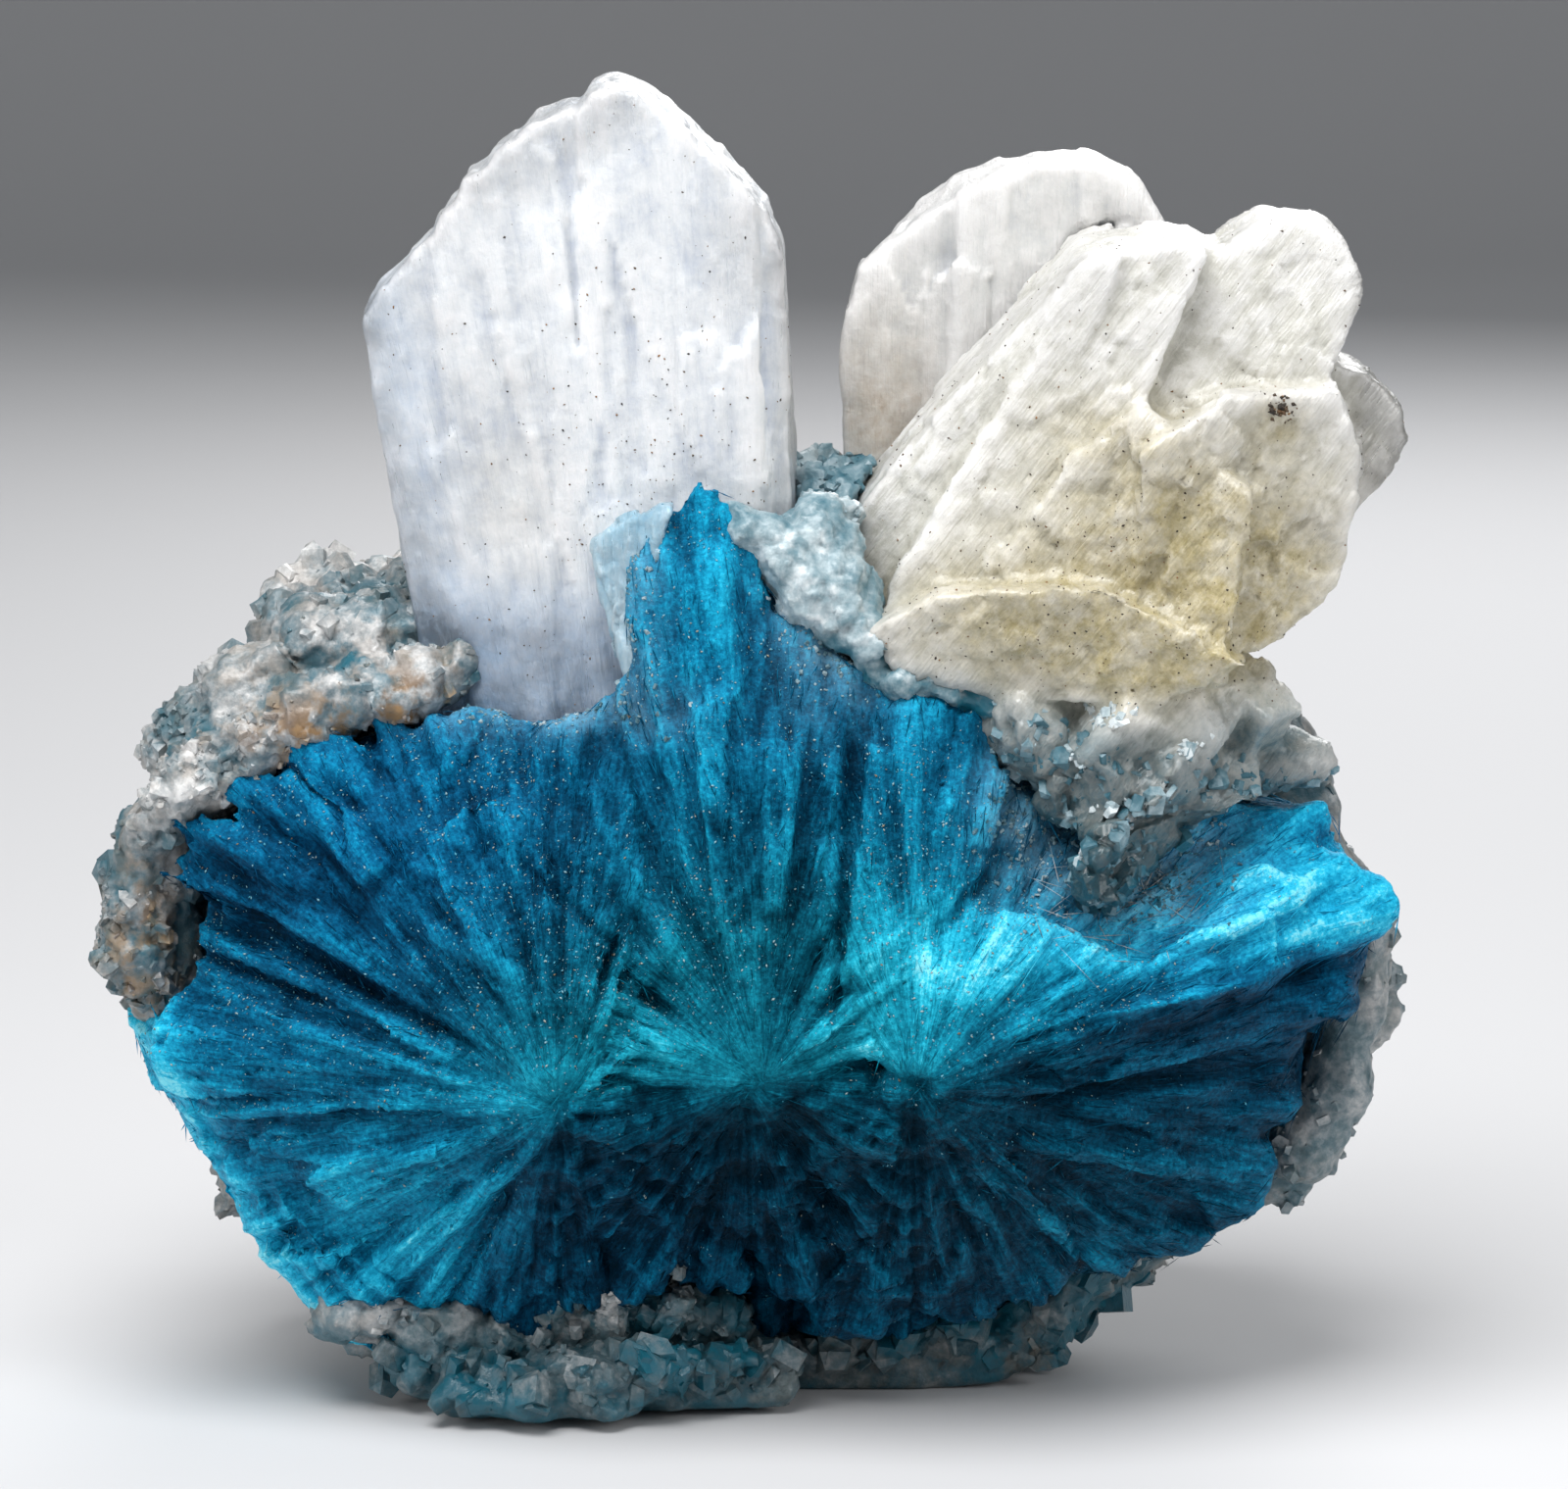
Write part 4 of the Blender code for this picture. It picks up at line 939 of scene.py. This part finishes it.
# Druse that closes the seams between the blades and the large crystals, as (x, y, z, radius).
SEAMS = [
    [(-0.6, -4.8, 21.3, 0.30), (0.2, -4.9, 20.7, 0.55), (0.9, -4.9, 20.0, 0.75), (1.7, -5.1, 19.3, 0.85),
     (2.4, -5.3, 18.6, 0.70), (2.8, -5.4, 17.8, 0.45)],
    [(1.2, -4.4, 21.0, 0.6), (1.6, -4.6, 20.2, 0.8), (2.0, -4.9, 19.4, 0.8)],
    [(3.1, -5.7, 17.6, 0.35), (4.3, -5.4, 17.4, 0.45), (5.5, -5.3, 17.0, 0.5), (6.3, -5.4, 16.1, 0.45),
     (6.9, -5.6, 15.0, 0.45)],
]
# Where the druse below flashes, as (x, z): small crystals there are coloured near white, a painted highlight.
GLINTS = [(8.1, 17.1), (7.6, 16.9), (8.0, 15.0), (6.9, 13.8), (9.6, 16.2), (7.0, 15.9)]


def make_right_stilbite():
    chance = np.random.default_rng(31)

    def laths(points):
        x, y, z = points.T
        lean = math.radians(53)
        across = x * math.sin(lean) - z * math.cos(lean)
        along = x * math.cos(lean) + z * math.sin(lean)
        return np.stack([across, y, along], axis=1)

    def druse_share(points):
        return soft_step(points[:, 2] + 0.25 * (points[:, 0] - 5.0), 18.1, 16.7)

    def narrowed(points):
        """The hanging druse drawn up and to the left, so that the blades show at its right."""
        x, z = points[:, 0].copy(), points[:, 2].copy()
        points[:, 0] -= 1.4 * soft_step(x, 6.4, 9.8) * soft_step(z, 15.3, 14.0)
        points[:, 2] += 1.2 * soft_step(z, 15.4, 11.0)
        return points

    def relief(points, place):
        x, y, z = points.T
        low = druse_share(points)
        broken = np.clip(blob(x, z, (9.5, 20.6, 4.2, 3.0)) + 0.25, 0, 1) * (1 - low)
        flutes = (0.5 - np.abs(layered_noise(place * (1.0, 0.6, 0.12), 2, 51))) * 0.10
        fine = layered_noise(place * (3.4, 2.0, 0.4), 2, 53) * 0.04
        chips = facets(points * 0.8, 57) * 0.15 * broken + facets(points * 2.4, 58) * 0.05 * (0.25 + broken)
        lump = blob(x, z, (11.6, 15.8, 1.7, 1.0))
        druse = (facets(points * 0.75, 59) * 0.24 + facets(points * 2.6, 60) * 0.08) * (1 - 0.85 * lump)
        return (flutes + fine) * (1 - low) * (1 - 0.7 * broken) + chips + low * druse

    piece, points = pale_crystal("stilbite_right", 0.13, 1, laths, relief, narrowed)
    x, y, z = points.T
    low = druse_share(points)
    depth = soft_step(z + 0.25 * (x - 5.0), 17.9, 14.5)
    cool = np.maximum(low * (0.72 + 0.28 * depth), 0.9 * blob(x, z, (11.4, 16.0, 1.9, 1.2)))
    clear = 0.95 * soft_step(x, 13.2, 13.8) + 0.35 * soft_step(x, 3.2, 2.3) + (0.3 + 0.4 * depth) * low
    clear += 0.3 * np.clip(layered_noise(points * 0.45, 2, 61), 0, 1)
    store(piece.data, "zone", pale_zones(points, clear, RIGHT_STAINS_AND_SHADE, cool))
    whites = [(0.44, 0.43, 0.38), (0.60, 0.59, 0.54), (0.71, 0.70, 0.67), (0.82, 0.81, 0.79)]
    stain = [(0.34, 0.28, 0.12), (0.58, 0.50, 0.29)]
    pale_surface(piece, "stilbite_cream", whites, stain, (0.040, 0.135, 0.175))

    def front(places, normal):
        near = blob(places[:, 0], places[:, 2], (7.5, 19.8, 4.0, 2.6))
        return (normal[:, 1] < 0.0) * (places[:, 2] > 17.0) * (0.25 + near)

    specks("specks_right", piece, 1100, (0.02, 0.075), chance, front)

    def at_inclusion(places, normal):
        return (normal[:, 1] < 0.0) * blob(places[:, 0], places[:, 2], (11.6, 23.8, 0.26, 0.28)) ** 2

    specks("inclusion", piece, 44, (0.06, 0.20), chance, at_inclusion)
    return piece


def make_back_stilbite():
    def laths(points):
        return points.copy()

    def relief(points, place):
        flutes = (0.5 - np.abs(layered_noise(place * (0.9, 0.6, 0.12), 2, 71))) * 0.16
        steps = facets(place * (0.8, 0.5, 0.2), 74) * 0.12
        return flutes + steps + layered_noise(points * 1.4, 3, 73) * 0.04

    piece, points = pale_crystal("stilbite_back", 0.13, 2, laths, relief)
    clear = 0.4 * np.clip(layered_noise(points * 0.4, 2, 75), 0, 1)
    stains = [(2.9, 22.6, 1.3, 2.2, 0.7)]
    store(piece.data, "zone", pale_zones(points, clear, stains, np.zeros(len(points))))
    whites = [(0.58, 0.59, 0.61), (0.70, 0.70, 0.69), (0.78, 0.77, 0.76), (0.86, 0.85, 0.84)]
    pale_surface(piece, "stilbite_cloudy", whites, [(0.62, 0.46, 0.30), (0.84, 0.74, 0.60)], (0.5, 0.5, 0.5))


def crust_zones(points):
    """How light, how teal and how brown the crust is at each point."""
    light = sum_of_regions(CRUST_LIGHT, points, CRUST_LIGHT_REGIONS)
    light += BACK_LIGHTER * soft_step(points[:, 1], 0.0, 3.0)
    teal = sum_of_regions(CRUST_TEAL, points, CRUST_TEAL_REGIONS)
    brown = sum_of_regions(CRUST_BROWN, points, CRUST_BROWN_REGIONS)
    return np.stack([light, np.clip(teal, 0, 1), np.clip(brown, 0, 1)], axis=1)


def druse_zones(points):
    """The grey druse between and under the large crystals, palest in the saddle."""
    x, z = points[:, 0], points[:, 2]
    saddle = blob(x, z, (1.6, 20.2, 2.2, 2.4))
    light = 0.48 + 0.16 * saddle + 0.10 * soft_step(z, 15.5, 17.0)
    teal = 0.35 + 0.4 * soft_step(z, 15.5, 12.5) * (1 - saddle)
    return np.stack([light, teal, np.full(len(points), 0.03)], axis=1)


def crust_surface(piece, name, tones=CRUST_TONES):
    """Small zeolite crystals, grey and half clear, with teal and brown patches."""
    tree, surface = material_for(piece, name)
    own = parts_of(tree, attribute(tree, "tint"))[0]
    light, teal, brown = parts_of(tree, attribute(tree, "zone"))
    area = noise_of(tree, object_place(tree), 0.7, 5.0, 0.65)
    fine = noise_of(tree, object_place(tree), 4.5, 4.0, 0.65)
    other = noise_of(tree, object_place(tree), 1.1, 4.0, 0.65)
    value = calculate(tree, "ADD", light, calculate(tree, "MULTIPLY", calculate(tree, "SUBTRACT", own, 0.5), 0.30))
    value = calculate(tree, "ADD", value, calculate(tree, "MULTIPLY", calculate(tree, "SUBTRACT", area, 0.5), 1.1))
    value = calculate(tree, "ADD", value, calculate(tree, "MULTIPLY", calculate(tree, "SUBTRACT", fine, 0.5), 0.7))
    colour = ramp(tree, value, tones)
    rust = blended(tree, own, (0.46, 0.28, 0.12), (0.12, 0.06, 0.025))
    browned = calculate(tree, "MULTIPLY", brown, ramp(tree, other, [(0.44, 0.0), (0.56, 1.0)]))
    colour = blended(tree, browned, colour, rust)
    tealed = calculate(tree, "MULTIPLY", teal, ramp(tree, area, [(0.42, 1.0), (0.56, 0.0)]))
    colour = blended(tree, tealed, colour, (0.004, 0.13, 0.19))
    tree.links.new(colour, surface.inputs["Base Color"])
    surface.inputs["Roughness"].default_value = 0.32
    surface.inputs["IOR"].default_value = 1.5
    surface.inputs["Transmission Weight"].default_value = 0.16
    bump(tree, surface, fine, 0.6, 0.06)


def scattered_tablets(name, places, normal, chance, sizes, spread, zones, sink=0.0, tones=DRUSE_TONES):
    """Small crystals that stand on a surface, leaning at random."""
    count = len(places)
    along = unit(normal + chance.normal(0, spread, (count, 3)))
    across = along_surface(chance.normal(0, 1, (count, 3)), along)
    size = sizes[0] + (sizes[1] - sizes[0]) * chance.random(count) ** 2
    lengths = size * chance.uniform(0.8, 1.5, count)
    depths = size * chance.uniform(0.35, 0.9, count)
    tint = np.stack([chance.random(count)] * 3, axis=1)
    places = places - normal * (lengths * sink)[:, None]
    made = many(name, tablet(), places, along, across, lengths, size, depths, tint)
    made.data.shade_flat()
    store(made.data, "zone", zones(vertices_of(made.data)))
    crust_surface(made, name, tones)
    return made


def round_ball():
    """A low-sided ball, one unit across."""
    ball = bmesh.new()
    bmesh.ops.create_icosphere(ball, subdivisions=2, radius=0.5)
    corners = [tuple(vertex.co) for vertex in ball.verts]
    faces = [tuple(vertex.index for vertex in face.verts) for face in ball.faces]
    ball.free()
    return corners, faces


def grown_mass(name, paths, voxel, chance):
    """One continuous mass that follows paths of (x, y, z, radius)."""
    places, sizes = [], []
    for path in paths:
        known = np.array(path, float)
        steps = np.concatenate([[0], np.cumsum(np.linalg.norm(np.diff(known[:, :3], axis=0), axis=1))])
        count = int(steps[-1] / (0.35 * known[:, 3].mean())) + 2
        at = np.linspace(0, steps[-1], count)
        spots = np.stack([np.interp(at, steps, known[:, i]) for i in range(4)], axis=1)
        places.append(spots[:, :3] + chance.normal(0, 0.12, (count, 3)) * spots[:, 3:])
        sizes.append(2.0 * spots[:, 3] * chance.uniform(0.8, 1.2, count))
    places, sizes = np.concatenate(places), np.concatenate(sizes)
    along = np.tile((0.0, 0.0, 1.0), (len(places), 1))
    across = np.tile((1.0, 0.0, 0.0), (len(places), 1))
    piece = many(name, round_ball(), places, along, across, sizes, sizes, sizes, np.zeros((len(places), 3)))
    remesh(piece, voxel)
    smooth(piece.data, 2)
    return piece


# The crust where it meets the rim of the blades: upper left, bottom and right, as (x, y, z, radius).
RIM_MASSES = [
    [(-6.9, -3.4, 17.5, 0.6), (-7.9, -3.7, 17.2, 0.7), (-9.4, -3.8, 16.9, 0.75), (-10.9, -3.8, 16.3, 0.75),
     (-12.2, -3.8, 15.4, 0.75), (-13.2, -3.8, 14.6, 0.7), (-13.9, -3.4, 13.6, 0.6), (-14.2, -2.9, 12.5, 0.6),
     (-14.2, -2.8, 11.6, 0.75), (-14.1, -3.0, 10.6, 0.7)],
    [(-7.6, -2.4, 18.3, 0.9), (-9.6, -2.5, 17.9, 1.0), (-11.6, -2.5, 16.9, 1.0), (-13.3, -2.3, 15.4, 0.8)],
    [(-10.0, -3.2, 2.5, 0.5), (-9.0, -3.4, 2.4, 0.65), (-6.6, -3.0, 1.8, 0.8), (-4.6, -3.2, 2.0, 0.85),
     (-2.6, -3.2, 2.3, 0.8), (-1.0, -2.8, 2.0, 0.7)],
    [(14.2, -1.9, 11.4, 0.50), (13.9, -2.0, 9.8, 0.65), (13.5, -2.0, 8.4, 0.70), (13.1, -2.0, 7.0, 0.75),
     (12.6, -2.1, 5.9, 0.80)],
    [(-13.2, -2.2, 14.2, 0.9), (-13.8, -1.9, 12.6, 1.0), (-13.9, -1.8, 11.2, 1.0), (-13.7, -1.8, 9.9, 0.9)],
    [(13.9, -0.8, 11.6, 0.8), (13.7, -0.9, 9.8, 0.9), (13.3, -0.9, 8.2, 0.9), (12.8, -0.9, 6.8, 0.9),
     (12.0, -1.0, 5.4, 0.9)],
]
# Pale fingers of crystal that climb over the dark blades at the bottom.
FINGERS = [
    [(-4.9, -4.1, 2.4, 0.28), (-4.5, -4.3, 3.0, 0.18), (-4.0, -4.3, 3.3, 0.12)],
    [(-3.6, -4.1, 2.3, 0.30), (-3.4, -4.4, 3.1, 0.20), (-2.7, -4.4, 3.6, 0.14), (-2.0, -4.3, 3.7, 0.10)],
    [(-3.4, -4.3, 3.0, 0.18), (-3.9, -4.5, 3.6, 0.10)],
    [(-2.2, -3.9, 2.3, 0.28), (-1.8, -4.1, 3.0, 0.12)],
    [(-5.4, -3.8, 2.2, 0.30), (-5.6, -3.9, 2.7, 0.22)],
]


def calm(points):
    """1 where the crust is a thin smooth skin, on the right rim, and 0 elsewhere."""
    return soft_step(points[:, 0], 10.5, 12.5) * soft_step(points[:, 2], 3.5, 5.0)


def make_crust():
    chance = np.random.default_rng(51)

    def outside(places):
        x, y, z = places[:, 0] / 12.9, (places[:, 1] + 0.8) / 9.5, (places[:, 2] - 10.3) / 9.2
        return (x * x + y * y + z * z > 1.12) | (places[:, 1] < -0.3)

    def dress(piece, amount, stands_for=None):
        mesh = piece.data
        points = vertices_of(mesh)
        lumps = layered_noise(points * 0.6, 3, 81) * 0.22 + np.abs(layered_noise(points * 1.3, 2, 87)) * 0.12
        broken = facets(points * 1.3, 82) * 0.20 + facets(points * 3.0, 89) * 0.08
        rough = amount * (1.0 - 0.65 * calm(points)) * soft_step(points[:, 2], 0.05, 0.7)
        raise_by(mesh, (lumps + broken) * rough)
        points = vertices_of(mesh)
        points[:, 2] = np.maximum(points[:, 2], 0.0)
        move_vertices(mesh, points)
        own = 0.5 + 0.3 * layered_noise(points * 1.2, 2, 83) + 0.35 * facets(points * 1.3, 82)
        store(mesh, "tint", np.stack([np.clip(own, 0, 1)] * 3, axis=1))
        store(mesh, "zone", crust_zones(points))
        crust_surface(piece, piece.name)
        place_piece(piece, stands_for)

    body = fine_copy("zeolite_crust", "zeolite_crust_body", 0.175, outside, 3)
    dress(body, 1.0, "zeolite_crust")
    rim = grown_mass("zeolite_rim", RIM_MASSES + FINGERS, 0.12, chance)
    dress(rim, 0.8)

    def rough(places, normal):
        clumps = np.clip(0.5 + 0.7 * layered_noise(places * 0.45, 2, 85), 0.08, 2)
        flank = (places[:, 0] < -9.0) & (places[:, 2] < 9.6) & (places[:, 1] < 4.0)
        return clumps * (places[:, 2] > 0.6) * (normal[:, 2] > -0.9) * (1 - 0.9 * calm(places)) * ~flank

    for piece, name, count, sizes in ((body, "zeolite_crystals", 4200, (0.12, 0.80)),
                                      (rim, "rim_crystals", 1900, (0.08, 0.45))):
        places, normal = surface_samples(piece.data, count, chance, rough)
        crystals = scattered_tablets(name, places, normal, chance, sizes, 0.5, crust_zones, 0.35, CRUST_TONES)
        place_piece(crystals)


def make_druse(right, face):
    """The grey druse under the right crystal and in the saddle, its frosting and its fine needles."""
    chance = np.random.default_rng(61)

    def low(places, normal):
        return (places[:, 2] + 0.25 * (places[:, 0] - 5.0) < 17.3) * (places[:, 2] > 10.5) * 1.0

    places, normal = surface_samples(right.data, 600, chance, low)
    crystals = scattered_tablets("druse_crystals", places, normal, chance, (0.06, 0.45), 0.6, druse_zones, 0.4)
    place_piece(crystals)

    saddle = fine_copy("druse_saddle", "saddle_body", 0.12, None, 3)
    points = vertices_of(saddle.data)
    raise_by(saddle.data, facets(points * 0.9, 91) * 0.14 + facets(points * 2.4, 92) * 0.07)
    points = vertices_of(saddle.data)
    own = np.clip(0.5 + 0.5 * facets(points * 0.9, 91), 0, 1)
    store(saddle.data, "tint", np.stack([own] * 3, axis=1))
    store(saddle.data, "zone", druse_zones(points))
    crust_surface(saddle, "saddle_body", DRUSE_TONES)
    place_piece(saddle, "druse_saddle")
    places, normal = surface_samples(saddle.data, 900, chance)
    frost = scattered_tablets("saddle_crystals", places, normal, chance, (0.05, 0.30), 0.6, druse_zones, 0.35)
    place_piece(frost)

    seams = grown_mass("seams", SEAMS, 0.10, chance)
    points = vertices_of(seams.data)
    raise_by(seams.data, facets(points * 1.4, 93) * 0.09 + facets(points * 4.0, 94) * 0.05)
    points = vertices_of(seams.data)
    own = np.clip(0.5 + 0.4 * facets(points * 1.6, 93), 0, 1)
    store(seams.data, "tint", np.stack([own] * 3, axis=1))
    zones = druse_zones(points)
    zones[:, 1] = np.clip(zones[:, 1] + 0.6 * soft_step(points[:, 2], 19.2, 17.6), 0, 1)
    store(seams.data, "zone", zones)
    crust_surface(seams, "seams", DRUSE_TONES)
    place_piece(seams)

    def frosty(places, normal):
        return blue_zones(places)[:, 2] ** 2 * (normal[:, 1] < 0.2)

    places, normal = surface_samples(face.data, 2800, chance, frosty)
    frosting = scattered_tablets("frosting", places, normal, chance, (0.03, 0.13), 0.8, druse_zones, 0.2)
    place_piece(frosting)

    def beside_druse(places, normal):
        return blob(places[:, 0], places[:, 2], (8.2, 12.4, 2.0, 1.2)) ** 2 * (normal[:, 1] < 0.0)

    count = 70
    places, normal = surface_samples(face.data, count, chance, beside_druse)
    along = along_surface(chance.normal(0, 1, (count, 3)) + (0.9, 0.0, 0.5), normal)
    across = unit(np.cross(along, normal))
    lengths = chance.uniform(0.5, 2.2, count)
    widths = chance.uniform(0.014, 0.03, count)
    tint = np.stack([chance.uniform(0.5, 1.0, count)] * 3, axis=1)
    needles = many("pale_needles", splinter(), places + normal * 0.06, along, across, lengths, widths, widths, tint)
    store(needles.data, "zone", np.tile((0.55, 0.2, 0.0), (len(needles.data.vertices), 1)))
    crust_surface(needles, "pale_needles")
    place_piece(needles)

    def flashing(places, normal):
        total = np.zeros(len(places))
        for x, z in GLINTS:
            total += blob(places[:, 0], places[:, 2], (x, z, 0.30, 0.16))
        return total * (normal[:, 1] < 0.0)

    # Painted highlight: near-white colour for the glints.
    def bright(points):
        return np.tile((0.95, 0.0, 0.0), (len(points), 1))

    places, normal = surface_samples(right.data, 110, chance, flashing)
    glints = scattered_tablets("glints", places, normal, chance, (0.08, 0.30), 0.9, bright, 0.3)
    place_piece(glints)


def stage():
    """A pale floor that curves up behind the specimen."""
    profile = [(-600.0, 0.0), (250.0, 0.0)]
    for i in range(1, 13):
        turn = i / 12 * math.pi / 2
        profile.append((250.0 + 150.0 * math.sin(turn), 150.0 - 150.0 * math.cos(turn)))
    profile.append((400.0, 700.0))
    sweep = bmesh.new()
    rows = []
    for side in (-700.0, 700.0):
        rows.append([sweep.verts.new((side * MM, y * MM, z * MM)) for y, z in profile])
    for i in range(len(profile) - 1):
        sweep.faces.new((rows[0][i], rows[1][i], rows[1][i + 1], rows[0][i + 1]))
    mesh = bpy.data.meshes.new("floor")
    sweep.to_mesh(mesh)
    sweep.free()
    mesh.shade_smooth()
    floor = bpy.data.objects.new("floor", mesh)
    bpy.context.scene.collection.objects.link(floor)
    tree, surface = material_for(floor, "floor")
    surface.inputs["Base Color"].default_value = (0.62, 0.62, 0.63, 1.0)
    surface.inputs["Roughness"].default_value = 0.9


def lamp(name, size, power, place, target):
    light = bpy.data.lights.new(name, "AREA")
    light.shape = "DISK"
    light.size = size * MM
    light.energy = power
    holder = bpy.data.objects.new(name, light)
    bpy.context.scene.collection.objects.link(holder)
    holder.location = Vector(place) * MM
    aim = (Vector(target) - Vector(place)).normalized()
    holder.rotation_euler = aim.to_track_quat("-Z", "Y").to_euler()


def lights():
    """A large soft light above, a smaller one from the front left and a faint fill."""
    target = (0.0, 0.0, 12.0)
    lamp("key", 120.0, 0.31, (-20.0, -60.0, 150.0), target)
    lamp("left", 90.0, 0.075, (-140.0, -90.0, 60.0), target)
    lamp("right", 90.0, 0.074, (130.0, -60.0, 70.0), target)
    lamp("back", 120.0, 0.16, (40.0, 150.0, 110.0), target)
    world = bpy.data.worlds.new("studio")
    world.use_nodes = True
    world.node_tree.nodes["Background"].inputs["Color"].default_value = (0.9, 0.95, 1.0, 1.0)
    world.node_tree.nodes["Background"].inputs["Strength"].default_value = 0.16
    bpy.context.scene.world = world


def camera():
    """The photograph's view: level with the broken face, ten degrees above it."""
    rise = math.radians(10.0)
    target = Vector((0.5625, -2.3, 15.55)) * MM
    back = Vector((0.0, -math.cos(rise), math.sin(rise)))
    lens = bpy.data.cameras.new("camera")
    lens.lens = 160.0
    lens.sensor_width = 36.0
    lens.clip_start = 0.005
    lens.clip_end = 10.0
    holder = bpy.data.objects.new("camera", lens)
    bpy.context.scene.collection.objects.link(holder)
    holder.location = target + back * 160.0 * MM
    holder.rotation_euler = (-back).to_track_quat("-Z", "Y").to_euler()
    bpy.context.scene.camera = holder


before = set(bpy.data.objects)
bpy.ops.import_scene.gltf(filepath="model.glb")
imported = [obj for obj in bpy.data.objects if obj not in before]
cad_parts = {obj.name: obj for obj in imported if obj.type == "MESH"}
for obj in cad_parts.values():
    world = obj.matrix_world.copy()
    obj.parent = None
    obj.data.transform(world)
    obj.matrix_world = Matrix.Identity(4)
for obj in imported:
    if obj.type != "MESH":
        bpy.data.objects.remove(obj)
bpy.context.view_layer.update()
bpy.context.scene.view_settings.view_transform = "Standard"
camera()
lights()
stage()
blue_face = make_blue()
make_left_stilbite()
make_sliver()
right_crystal = make_right_stilbite()
make_back_stilbite()
make_druse(right_crystal, blue_face)
make_crust()
